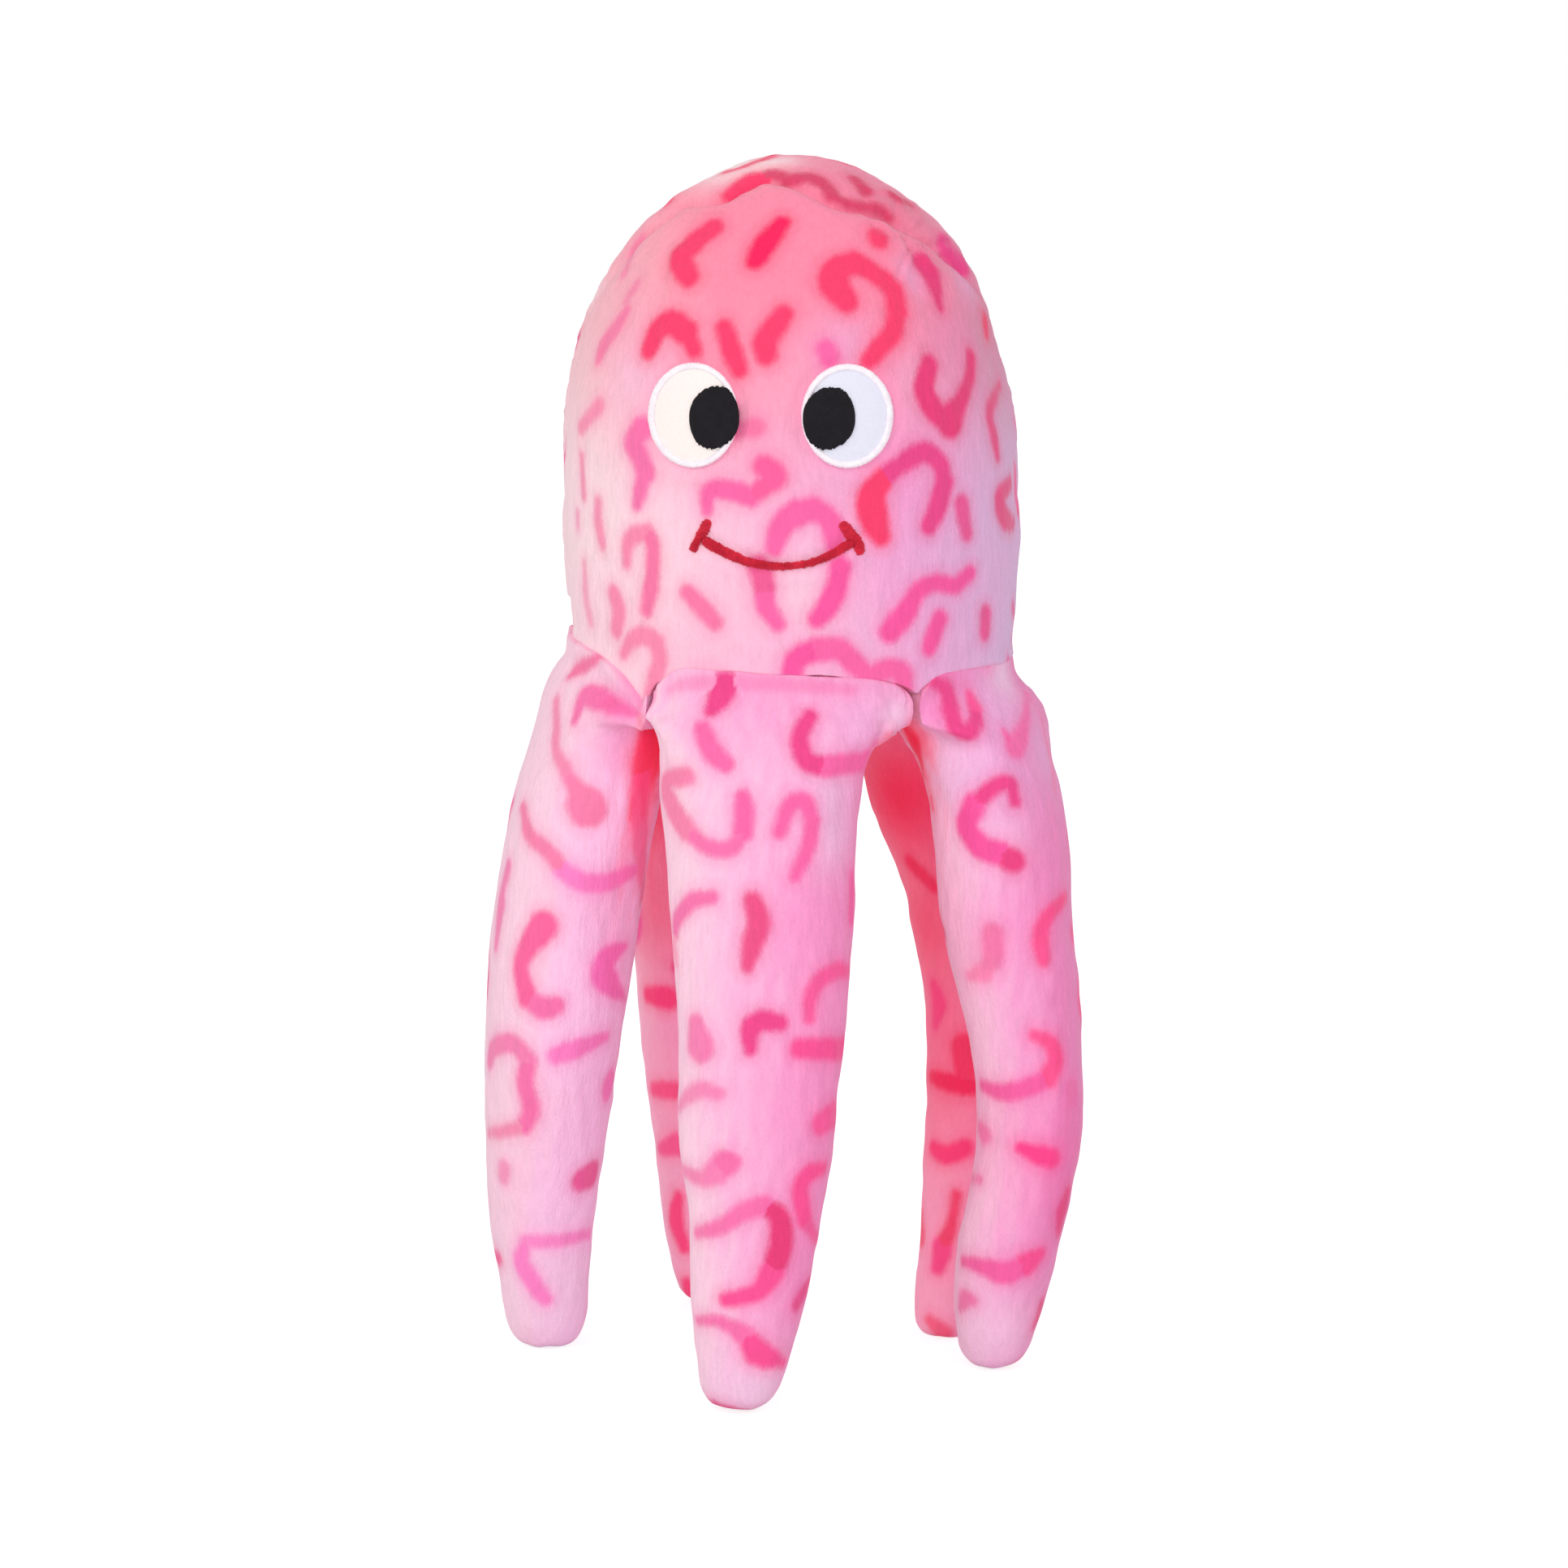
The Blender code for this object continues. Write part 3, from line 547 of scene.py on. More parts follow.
WELD = 1e-6
CLEAR = 0.0015  # rays that look outwards start this far off the cloth


def new_object(name, data):
    made = bpy.data.objects.new(name, data)
    bpy.context.scene.collection.objects.link(made)
    return made


def object_of(name, shape):
    """An object of a bmesh."""
    mesh = bpy.data.meshes.new(name)
    shape.to_mesh(mesh)
    shape.free()
    mesh.shade_smooth()
    return new_object(name, mesh)


def relax(piece, factor, times):
    smooth = piece.modifiers.new("smooth", "SMOOTH")
    smooth.factor = factor
    smooth.iterations = times
    settle(piece)


def padding_of(node):
    """An even, smooth mesh of the CAD node's shape."""
    piece = new_object(node + "_plush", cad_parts[node].data.copy())
    piece.data.materials.clear()
    shape = bmesh.new()
    shape.from_mesh(piece.data)
    bmesh.ops.remove_doubles(shape, verts=shape.verts, dist=WELD)
    skin = BVHTree.FromBMesh(shape)
    shape.to_mesh(piece.data)
    shape.free()
    remesh = piece.modifiers.new("remesh", "REMESH")
    remesh.mode = "VOXEL"
    remesh.voxel_size = VOXEL
    relax(piece, 0.5, 3)
    places = points_of(piece)
    for i, place in enumerate(places):
        places[i] = skin.find_nearest(Vector(place))[0]
    move_points(piece, places)
    relax(piece, 0.4, 1)
    for name in [layer.name for layer in piece.data.attributes if not layer.is_required]:
        if name in piece.data.attributes and not name.startswith("."):
            piece.data.attributes.remove(piece.data.attributes[name])
    return piece


def near_path(places, path, reach):
    """Indices of the places in a box that far round a path."""
    low, high = path.min(0) - reach, path.max(0) + reach
    return np.nonzero(np.all((places > low) & (places < high), axis=1))[0]


def gaps_to(places, path):
    return np.linalg.norm(places[:, None, :] - path[None, :, :], axis=2)


def distance_along(places, path, reach):
    """For places within reach of a path: their indices, distances to it and length along it."""
    near = near_path(places, path, reach)
    if len(near) == 0:
        return near, np.zeros(0), np.zeros(0), 0.0
    steps = np.linalg.norm(np.diff(path, axis=0), axis=1)
    length = np.concatenate(([0.0], np.cumsum(steps)))
    gaps = gaps_to(places[near], path)
    closest = gaps.argmin(1)
    distance = gaps[np.arange(len(near)), closest]
    inside = distance < reach
    return near[inside], distance[inside], length[closest][inside], length[-1]


# The crown seam's way down each side: azimuth round the axis, and height
LEFT_SIDE = (
    (-62, 0.2790), (-80, 0.2660), (-90, 0.2500), (-95, 0.2300), (-97, 0.2050), (-97, 0.1800),
)
RIGHT_SIDE = (
    (60, 0.2720), (78, 0.2620), (90, 0.2480), (96, 0.2300), (98, 0.2050), (98, 0.1780),
)
SIDE_STEP = 0.0008


def sewn_paths(tree):
    """The head's crown seam and two darts, as rows of places on its cloth."""
    crown = laid(tree, CROWN_SEAM)[0]
    sides = []
    for end, side in ((crown[0], LEFT_SIDE), (crown[-1], RIGHT_SIDE)):
        places = [tuple(wall_place(tree, azimuth, height)) for azimuth, height in side]
        sides.append(resampled([tuple(end)] + places, SIDE_STEP))
    crown = np.vstack((sides[0][::-1], crown, sides[1]))
    return [crown, laid(tree, LEFT_DART)[0], laid(tree, RIGHT_DART)[0]]


def swell(pieces, sewn):
    """Blows the padding up with cloth pressure. Sewn vertices stay, and none moves far."""
    starts = {}
    for piece in pieces:
        places = points_of(piece)
        held = np.zeros(len(places))
        for path in sewn.get(piece.name, ()):
            held[distance_along(places, path, SEWN_WIDTH)[0]] = 1.0
        inward = SHRINK * (1 - held * SEWN_SHALLOW)
        starts[piece.name] = places - normals_of(piece) * inward[:, None]
        move_points(piece, starts[piece.name])
        group = piece.vertex_groups.new(name="sewn")
        group.add([int(i) for i in np.nonzero(held)[0]], 1.0, "REPLACE")
    for piece in pieces:
        cloth = piece.modifiers.new("swell", "CLOTH")
        cloth.settings.use_pressure = True
        cloth.settings.uniform_pressure_force = PRESSURE
        cloth.settings.effector_weights.gravity = 0
        cloth.settings.vertex_group_mass = "sewn"
    for step in range(1, SWELL_STEPS + 1):
        bpy.context.scene.frame_set(step)
    for piece in pieces:
        settle(piece)
        moved = points_of(piece) - starts[piece.name]
        length = np.linalg.norm(moved, axis=1)
        share = np.minimum(1.0, SWELL_LIMIT / np.maximum(length, 1e-9))
        move_points(piece, starts[piece.name] + moved * share[:, None])
    bpy.context.scene.frame_set(1)


def even_directions(count):
    """Directions spread evenly over the upper half of a ball."""
    made = []
    for i in range(count):
        up = (i + 0.5) / count
        turn = i * math.pi * (3 - math.sqrt(5))
        level = math.sqrt(1 - up * up)
        made.append(Vector((math.cos(turn) * level, math.sin(turn) * level, up)))
    return made


CLOSE_REACH = 0.040
CLOSE_RAYS = 24


def store_closeness(pieces, trees):
    """Keeps on each vertex the share of its outlook that other cloth fills close by."""
    fan = even_directions(CLOSE_RAYS)
    for piece in pieces:
        places, normals = points_of(piece), normals_of(piece)
        shares = np.zeros(len(places))
        for i, (place, normal) in enumerate(zip(places, normals)):
            normal = Vector(normal)
            start = Vector(place) + normal * CLEAR
            turn = normal.to_track_quat("Z", "Y")
            hits = 0
            for ray in fan:
                direction = turn @ ray
                if any(tree.ray_cast(start, direction, CLOSE_REACH)[0] for tree in trees.values()):
                    hits += ray.z
            shares[i] = hits * 2 / CLOSE_RAYS
        store(piece, "closeness", shares)


def refine(piece):
    subdivision = piece.modifiers.new("refine", "SUBSURF")
    subdivision.levels = REFINEMENT
    subdivision.render_levels = REFINEMENT
    settle(piece)
    piece.data.shade_smooth()


# Shape of the cloth


def seam_level(places):
    return SEAM_HEIGHT + SEAM_LEAN * (places[:, 1] - AXIS.y) + SEAM_ROLL * (places[:, 0] - AXIS.x)


def azimuth_of(places):
    """Degrees round the toy's axis, 0 at the front and positive towards +X."""
    return np.degrees(np.arctan2(places[:, 0] - AXIS.x, -(places[:, 1] - AXIS.y)))


def off_azimuth(azimuth, middle):
    """Degrees from the middle to each azimuth, -180 to 180."""
    return (azimuth - middle + 180) % 360 - 180


def dip_depth(azimuth):
    depth = np.zeros(len(azimuth))
    for dip in DIPS:
        off = off_azimuth(azimuth, dip.azimuth)
        width = np.where(off < 0, dip.left, dip.right)
        depth += dip.depth * np.exp(-np.abs(off) / width)
    return depth


def off_dipped_seam(places):
    """How far each place is above or below the bottom seam and its dips."""
    return np.abs(places[:, 2] - seam_level(places) + dip_depth(azimuth_of(places)))


def scallop(places):
    """Lowers the cloth round the bottom seam where the seam dips between two tentacles."""
    off_seam = np.abs(places[:, 2] - seam_level(places))
    share = smooth_step(1 - off_seam / DIP_REACH)
    radius = np.hypot(places[:, 0] - AXIS.x, places[:, 1] - AXIS.y)
    share *= ramp(radius, *DIP_RAMP)
    lowered = places.copy()
    lowered[:, 2] -= dip_depth(azimuth_of(places)) * share
    return lowered


WALL_STEP = 4  # degrees
WALL_ABOVE = 0.0075  # the wall is measured this far above the seam
WALL_START = 0.05
HEM_CREASE = 0.0005
HEM_CREASE_HEIGHT = 0.0012
HEM_HEIGHT = 0.0060
HEM_RAMP = (-0.0065, 0.0025)  # cloth this far inside the wall is drawn out to it
MEETINGS = (-43, 35.5, 101, 173, -115)  # azimuths at which two roots meet
MEETING_WIDTH = 12.0  # degrees
MEETING_DEPTH = 0.0085
MEETING_FADE = 0.0045
MEETING_CREASE = 0.0010
MEETING_CREASE_WIDTH = 2.2  # degrees
CORNER_RAMP = (-0.0120, 0.0040)
ROOT_RISE = 0.0026  # how far the roots' tops rise to meet the head
ROOT_REACH = 0.006


def wall_radii(tree):
    """Rows of azimuth and the head's radius a little above its bottom seam."""
    rows = []
    for azimuth in range(-180, 180, WALL_STEP):
        turn = math.radians(azimuth)
        x, y = AXIS.x + WALL_START * math.sin(turn), AXIS.y - WALL_START * math.cos(turn)
        height = float(seam_level(np.array([[x, y, 0.0]]))[0]) + WALL_ABOVE
        place = wall_place(tree, azimuth, height)
        rows.append((azimuth, math.hypot(place.x - AXIS.x, place.y - AXIS.y)))
    return np.array(rows)


def close_hem(piece, places, walls):
    """Draws the cloth out to the wall along the bottom seam, and the roots up to the head."""
    off_seam = places[:, 2] - seam_level(places)
    outward = places - np.array(AXIS)
    outward[:, 2] = 0
    radius = np.maximum(np.linalg.norm(outward, axis=1), 1e-6)
    azimuth = azimuth_of(places)
    wall = np.interp(azimuth, walls[:, 0], walls[:, 1], period=360)
    target = wall - HEM_CREASE * hill(off_seam, HEM_CREASE_HEIGHT)
    share = ramp(radius - wall, *HEM_RAMP)
    share *= smooth_step(1.2 - np.abs(off_seam) / HEM_HEIGHT)
    if piece["node"] != HEAD:
        low = smooth_step((off_seam + MEETING_DEPTH + MEETING_FADE) / MEETING_FADE)
        corner = ramp(radius - wall, *CORNER_RAMP) * low
        for meeting in MEETINGS:
            off = np.abs(off_azimuth(azimuth, meeting))
            target = target - MEETING_CREASE * hill(off, MEETING_CREASE_WIDTH) * low
            share = np.maximum(share, corner * smooth_step(1.3 - off / MEETING_WIDTH))
    closed = places + outward * ((target - radius) * share / radius)[:, None]
    if piece["node"] != HEAD:
        closed[:, 2] += ROOT_RISE * smooth_step(1 + off_seam / ROOT_REACH)
    return closed


MEET_GAP = 0.35  # degrees left to the azimuth at which two roots meet
MEET_SPAN = 16.0  # degrees of cloth on each side that are stretched for it
# At the front tentacle's left corner the head's cloth dips between the two roots
MEET_GAPS = {(FRONT, -43): 3.4, (LEFT, -43): -2.2}
MEET_LEVELS = (-0.0010, -0.0030, -0.0050, -0.0075, -0.0105, -0.0135)  # below the seam
MEET_ROW = 0.0012
MEET_ROW_BAND = 0.008
MEET_RISE = (-0.0165, 0.0090)  # upwards, from that far below the seam
MEET_RAMP = (-0.020, 0.008)  # outwards, from that far inside the wall


def meet_roots(piece, places, walls):
    """Draws the upper corners of a root sideways until they touch the roots beside it."""
    if piece["node"] == HEAD:
        return places
    off_seam = places[:, 2] - seam_level(places)
    outward = places - np.array(AXIS)
    radius = np.hypot(outward[:, 0], outward[:, 1])
    azimuth = azimuth_of(places)
    inside = radius - np.interp(azimuth, walls[:, 0], walls[:, 1], period=360)
    share = ramp(off_seam, *MEET_RISE) * ramp(inside, *MEET_RAMP)
    turn = np.zeros(len(places))
    for meeting in MEETINGS:
        gap = MEET_GAPS.get((piece["node"], meeting), MEET_GAP)
        off = off_azimuth(azimuth, meeting)
        near = np.abs(off) < MEET_SPAN
        outer = near & (inside > -MEET_ROW_BAND)
        rows = []
        for level in MEET_LEVELS:
            row = outer & (np.abs(off_seam - level) < MEET_ROW)
            if row.any():
                rows.append((level, np.abs(off[row]).min()))
        if len(rows) < 2:
            continue
        rows = np.array(rows[::-1])
        edge = np.maximum(np.interp(off_seam, rows[:, 0], rows[:, 1]), MEET_GAP)
        stretch = (MEET_SPAN - gap) / (MEET_SPAN - edge)
        drawn = MEET_SPAN - (MEET_SPAN - np.abs(off)) * stretch
        turn[near] += (np.sign(off) * (drawn - np.abs(off)) * share)[near]
    turn = np.radians(turn)
    met = places.copy()
    met[:, 0] = AXIS.x + outward[:, 0] * np.cos(turn) - outward[:, 1] * np.sin(turn)
    met[:, 1] = AXIS.y + outward[:, 0] * np.sin(turn) + outward[:, 1] * np.cos(turn)
    return met


FRONT_WIDER = 0.0026
FRONT_RISE, FRONT_FALL, FRONT_SIDE = (0.122, 0.034), (0.1660, -0.006), (-0.008, -0.018)
HEAD_TRIM_LEFT = 0.0013
HEAD_TRIM_RIGHT = 0.0020
HEAD_TRIM_RAMP = (0.015, 0.035)
HEAD_TRIM_HEIGHT, HEAD_TRIM_SPREAD = 0.245, 0.016


def fit_outline(piece, places):
    """Small changes of outline: a straight left side below the hem, and a trimmer dome."""
    fitted = places.copy()
    if piece["node"] == FRONT:
        share = ramp(places[:, 2], *FRONT_RISE) * ramp(places[:, 2], *FRONT_FALL)
        fitted[:, 0] -= FRONT_WIDER * share * ramp(places[:, 0], *FRONT_SIDE)
    if piece["node"] == HEAD:
        across = places[:, 0] - AXIS.x
        fitted[:, 0] += HEAD_TRIM_LEFT * ramp(-across, *HEAD_TRIM_RAMP)
        share = hill(places[:, 2] - HEAD_TRIM_HEIGHT, HEAD_TRIM_SPREAD)
        fitted[:, 0] -= HEAD_TRIM_RIGHT * share * ramp(across, *HEAD_TRIM_RAMP)
    return fitted


REAR_LEAN = 0.0042
REAR_RISE, REAR_FALL = (0.105, 0.025), (0.174, -0.020)


def lean_root(piece, places):
    """The rear right tentacle leaves the head further left than it stands."""
    if piece["node"] != REAR_RIGHT:
        return places
    leaned = places.copy()
    share = ramp(places[:, 2], *REAR_RISE) * ramp(places[:, 2], *REAR_FALL)
    leaned[:, 0] -= REAR_LEAN * share
    return leaned


WAVE_LENGTHS = (0.75, 1.4)  # shares of the given length


def waves(places, seed, length, count=18):
    """A smooth random value at each place, about -1 to 1, that changes over that length."""
    rng = np.random.default_rng(seed)
    total = np.zeros(len(places))
    for _ in range(count):
        direction = rng.normal(size=3)
        direction /= np.linalg.norm(direction)
        rate = 2 * math.pi / (length * rng.uniform(*WAVE_LENGTHS))
        total += np.sin(places @ direction * rate + rng.uniform(0, 2 * math.pi))
    return total / math.sqrt(count)


Seam = namedtuple("Seam", "depth width puff puff_reach pucker pucker_length fade")
CROWN = Seam(0.0013, 0.0013, 0.0008, 0.0050, 0.00011, 0.0068, 0.004)
DART = Seam(0.0011, 0.0012, 0.0006, 0.0045, 0.00020, 0.0060, 0.010)
FOLD = Seam(0.0008, 0.0010, 0.0004, 0.0034, 0.0, 0.0060, 0.003)
FOLD_STEP = 1.5  # pixels
SEAM_REACH = 0.016
PUFF_PEAK = 1.2
PUCKER_DRIFT, PUCKER_DRIFT_LENGTH = 1.5, 0.02


def seam_offset(places, path, seam, seed):
    """How far out a seam moves the cloth: a groove, a puff on each side, and puckers."""
    near, distance, along, total = distance_along(places, path, SEAM_REACH)
    fade = smooth_step((total - along) / seam.fade) * smooth_step(along / seam.fade)
    offset = -seam.depth * hill(distance, seam.width)
    side = distance / seam.puff_reach
    offset += seam.puff * side * np.exp(0.5 - side**2 / 2) * PUFF_PEAK
    drift = PUCKER_DRIFT * waves(places[near], seed, PUCKER_DRIFT_LENGTH)
    ripple = np.sin(2 * math.pi * along / seam.pucker_length + drift)
    offset += seam.pucker * ripple * side * np.exp(0.5 - side**2 / 2)
    made = np.zeros(len(places))
    made[near] = offset * fade
    return made


GATHER_DEPTH = 0.00026
GATHER_RADIUS = 0.0080
GATHERS = 9
GATHER_DRIFT, GATHER_DRIFT_LENGTH = 0.25, 0.012
GATHER_THICKNESS = 0.02


def gather_offset(places, centre, normal):
    """Wrinkles that run out from a point where the cloth is gathered."""
    across = Vector((0, 0, 1)).cross(normal).normalized()
    up = normal.cross(across)
    off = places - np.array(centre)
    x, y = off @ np.array(across), off @ np.array(up)
    away = np.hypot(x, y) / GATHER_RADIUS
    turn = np.arctan2(y, x) + GATHER_DRIFT * waves(places, 14, GATHER_DRIFT_LENGTH)
    ripple = np.sin(GATHERS * turn) + 0.5 * np.sin(GATHERS * 1.7 * turn + 1.0)
    near = np.abs(off @ np.array(normal)) < GATHER_THICKNESS
    return GATHER_DEPTH * ripple * away * np.exp(0.5 - away**2 / 2) * near


EYE_PRESS = 0.0007
EYE_BED = (0.0142, -0.0024)
EYE_BANK, EYE_BANK_WIDTH, EYE_BANK_SHARE = 0.0150, 0.0020, 0.6
EYE_CALM_FROM, EYE_CALM_TO = 0.012, 0.0175  # no lumps or nap under an eye
MOUTH_PRESS = 0.0008
MOUTH_REACH = 0.009
MOUTH_BED = 0.0017
MOUTH_BANK, MOUTH_BANK_WIDTH, MOUTH_BANK_SHARE = 0.0036, 0.0015, 0.5


def pressed_offset(places, eyes, mouth):
    """The cloth sinks a little under the eyes and the mouth, and rises round them."""
    offset = np.zeros(len(places))
    for eye in eyes:
        away = np.linalg.norm(places - eye, axis=1)
        offset -= EYE_PRESS * ramp(away, *EYE_BED)
        offset += EYE_PRESS * EYE_BANK_SHARE * hill(away - EYE_BANK, EYE_BANK_WIDTH)
    near, distance, _, _ = distance_along(places, mouth, MOUTH_REACH)
    offset[near] -= MOUTH_PRESS * hill(distance, MOUTH_BED)
    offset[near] += MOUTH_PRESS * MOUTH_BANK_SHARE * hill(distance - MOUTH_BANK, MOUTH_BANK_WIDTH)
    return offset


LUMP_HEIGHT = 0.00030
LUMP_LENGTH = 0.030
CLUMP_HEIGHT = 0.00010
CLUMP_LENGTH = 0.0042
CLUMP_WAVES = 30
CLUMP_STRETCH = (1.0, 1.0, 0.45)


def shape_cloth(piece, seams, calm, offset):
    """Seams, soft lumps and nap on a refined piece, besides the offset already found."""
    places = points_of(piece)
    for seed, (path, seam) in enumerate(seams):
        offset += seam_offset(places, path, seam, seed)
    offset += LUMP_HEIGHT * waves(places, 11, LUMP_LENGTH) * calm
    stretched = places * np.array(CLUMP_STRETCH)
    offset += CLUMP_HEIGHT * waves(stretched, 12, CLUMP_LENGTH, CLUMP_WAVES) * calm
    move_points(piece, places + normals_of(piece) * offset[:, None])


# Colour of the cloth

# The head's cloth from its left side to its right one, low and at the crown: painted light, paler
# on the left towards the key lamp and darker and cooler on the right; the crown's salmon is the
# cloth's own tone
HEAD_LOW_LIT_TO_SHADED = ((250, 217, 224), (246, 189, 211), (235, 160, 205), (216, 176, 214))
CROWN_LIT_TO_SHADED = ((244, 184, 193), (247, 138, 164), (243, 136, 166), (216, 136, 163))
HEAD_ACROSS = (-0.050, -0.020, 0.025, 0.053)
CROWN_FROM = 0.205
CROWN_TO = 0.262
# A tentacle's cloth by the way it faces, from left to right: painted light and shade, pale where it
# faces the key lamp and pinker where it turns away
TENTACLE_LIT_TO_SHADED = ((250, 207, 224), (246, 186, 218), (243, 162, 206), (238, 142, 192))
# The left tentacle's right side is painted lighter to offset the shade that falls on it
LEFT_LIT_TO_SHADED = ((249, 206, 223), (249, 198, 221), (252, 200, 233), (255, 204, 242))
RIGHT_LIT_TO_SHADED = ((249, 206, 226), (246, 184, 217), (243, 158, 205), (235, 132, 186))
TENTACLE_TURNS = (-0.75, -0.35, 0.15, 0.70)
# Painted shade: the cloth turns crimson over this span of closeness, where other cloth is near
PAINTED_SHADE_FROM = 0.36
PAINTED_SHADE_TO = 0.72
HEM_PALE = 0.0050  # this close to the bottom seam the cloth keeps its own colour, without the painted shade
HEM_PAINTED_SHADE = 0.15  # but for this share of the painted shade
DRIFT_LENGTH = 0.045  # the colours' borders wander, by these amounts
ACROSS_DRIFT, RISE_DRIFT, TURN_DRIFT = 0.004, 0.003, 0.10


def blended(values, stops, colours):
    """Linear colours between sRGB ones, by where each value lies among the stops."""
    rows = np.array([srgb(colour) for colour in colours])
    return np.column_stack([np.interp(values, stops, rows[:, k]) for k in range(3)])


def tinted(colour, other, amount):
    return colour * (1 - amount[:, None]) + srgb(other) * amount[:, None]


# The cloth's colour: its own tones and washes, with painted light and shade from the facing tones,
# the shade washes and crimson where cloth faces cloth
def ground_colour(piece, tree):
    places, normals = points_of(piece), normals_of(piece)
    drift = waves(places, 21, DRIFT_LENGTH)
    if piece["node"] == HEAD:
        across = places[:, 0] - AXIS.x + ACROSS_DRIFT * drift
        colour = blended(across, HEAD_ACROSS, HEAD_LOW_LIT_TO_SHADED)
        crown = blended(across, HEAD_ACROSS, CROWN_LIT_TO_SHADED)
        rise = (places[:, 2] + RISE_DRIFT * drift - CROWN_FROM) / (CROWN_TO - CROWN_FROM)
        share = smooth_step(rise)[:, None]
        colour = colour * (1 - share) + crown * share
    else:
        painted_light_tones = {LEFT: LEFT_LIT_TO_SHADED, RIGHT: RIGHT_LIT_TO_SHADED}.get(piece["node"], TENTACLE_LIT_TO_SHADED)
        colour = blended(normals[:, 0] + TURN_DRIFT * drift, TENTACLE_TURNS, painted_light_tones)
    for tint, x, y, radius, strength in WASHES[piece["node"]]:
        centre = np.array(seen_place(tree, x, y)[0])
        off = np.linalg.norm(places - centre, axis=1)
        colour = tinted(colour, tint, strength * hill(off, radius * PIXEL))
    # Painted shade: crimson where other cloth fills the outlook close by, faint near the bottom
    # seam
    deep = smooth_step((stored(piece, "closeness") - PAINTED_SHADE_FROM) / (PAINTED_SHADE_TO - PAINTED_SHADE_FROM))
    off_seam = off_dipped_seam(places)
    deep *= HEM_PAINTED_SHADE + (1 - HEM_PAINTED_SHADE) * ramp(off_seam, HEM_PALE, HEM_PALE)
    return tinted(colour, PAINTED_SHADE_RED, deep)


PAINTED_GLOW = 0.16  # painted light: emission where cloth faces cloth, in place of light scattered from pile to pile
# Painted glow over the whole of each rear tentacle, which stands in shade
REAR_PAINTED_GLOW = 0.15
PAINTED_GLOW_RAMP = (0.25, 0.40)  # over closeness
PAINTED_GLOW_CLEAR = (0.006, 0.010)  # away from the bottom seam, which gets no painted glow


# Stores the painted glow: how strongly the cloth emits, where it faces cloth and on the rear
# tentacles
def store_painted_glow(piece):
    places = points_of(piece)
    off_seam = off_dipped_seam(places)
    glow = PAINTED_GLOW * ramp(stored(piece, "closeness"), *PAINTED_GLOW_RAMP)
    if piece["node"] in (REAR_LEFT, REAR_RIGHT):
        glow = np.maximum(glow, REAR_PAINTED_GLOW)
    store(piece, "glow", glow * ramp(off_seam, *PAINTED_GLOW_CLEAR))


MARK_REACH = 0.004
MARK_SEARCH = 0.008
MARK_SPREAD = 1.22  # a stroke's pile spreads a little past its printed width


def paint_marks(piece, strokes):
    """Stores the signed distance to the nearest mark, in millimetres, its colour and strength."""
    places = points_of(piece)
    edge = np.full(len(places), MARK_REACH * 1000)
    colour = np.tile(srgb(PRINT["rose"]), (len(places), 1))
    strength = np.ones(len(places))
    for tone, power, path, widths in strokes:
        near = near_path(places, path, MARK_SEARCH)
        if len(near) == 0:
            continue
        distance = (gaps_to(places[near], path) - widths[None, :] / 2).min(1) * 1000
        closer = distance < edge[near]
        chosen = near[closer]
        edge[chosen] = distance[closer]
        colour[chosen] = srgb(PRINT[tone])
        strength[chosen] = power
    store(piece, "mark_edge", edge)
    store(piece, "mark_colour", colour)
    store(piece, "mark_strength", strength)


def photo_strokes(piece, tree):
    made = []
    for tone, strength, *pixels in MARKS[piece["node"]]:
        path, widths = laid(tree, pixels)
        away = np.linalg.norm(path - np.array(EYE), axis=1)
        size = PIXEL * away / (AIM - EYE).length
        made.append((tone, strength, path, widths[:, 0] * size * MARK_SPREAD))
    return made


SCATTER_TRIES = 900
SCATTER_GAP = 0.0080
SCATTER_STRENGTH = 0.95
SCATTER_TONES = ("raspberry", "raspberry", "rose", "fuchsia")
SCATTER_WIDTHS = (0.0036, 0.0052)
HOOK_RADII, HOOK_SWEEPS, HOOK_FLATNESS = (0.0050, 0.0078), (2.6, 4.4), (0.8, 1.2)
HOOK_POINTS, BAR_POINTS = 40, 18  # close enough that a stroke has even edges
BAR_LENGTHS, BAR_BENDS = (0.0020, 0.0085), (-0.3, 0.3)
CROWN_HEIGHT = 0.25  # marks above it have the crown's tone
GRAZING = 0.08


def out_of_sight(place, normal, trees):
    towards = EYE - place
    if normal.dot(towards.normalized()) < GRAZING:
        return True
    start = place + normal * CLEAR
    return any(tree.ray_cast(start, towards, towards.length)[0] for tree in trees)


def scatter_shape(rng, hooked):
    """A hook or a short bar in its own plane: rows of two places, and widths."""
    width = rng.uniform(*SCATTER_WIDTHS)
    if hooked:
        radius = rng.uniform(*HOOK_RADII)
        turn = np.linspace(0, rng.uniform(*HOOK_SWEEPS), HOOK_POINTS)
        shape = np.column_stack((np.cos(turn), np.sin(turn) * rng.uniform(*HOOK_FLATNESS))) * radius
    else:
        length = rng.uniform(*BAR_LENGTHS)
        run = np.linspace(-0.5, 0.5, BAR_POINTS)
        shape = np.column_stack((run * length, rng.uniform(*BAR_BENDS) * run**2 * length))
    turn = rng.uniform(0, 2 * math.pi)
    spin = np.array(((math.cos(turn), math.sin(turn)), (-math.sin(turn), math.cos(turn))))
    ends = np.sin(np.linspace(0.15, 0.85, len(shape)) * math.pi)
    return (shape - shape.mean(0)) @ spin, width * (0.72 + 0.28 * ends)


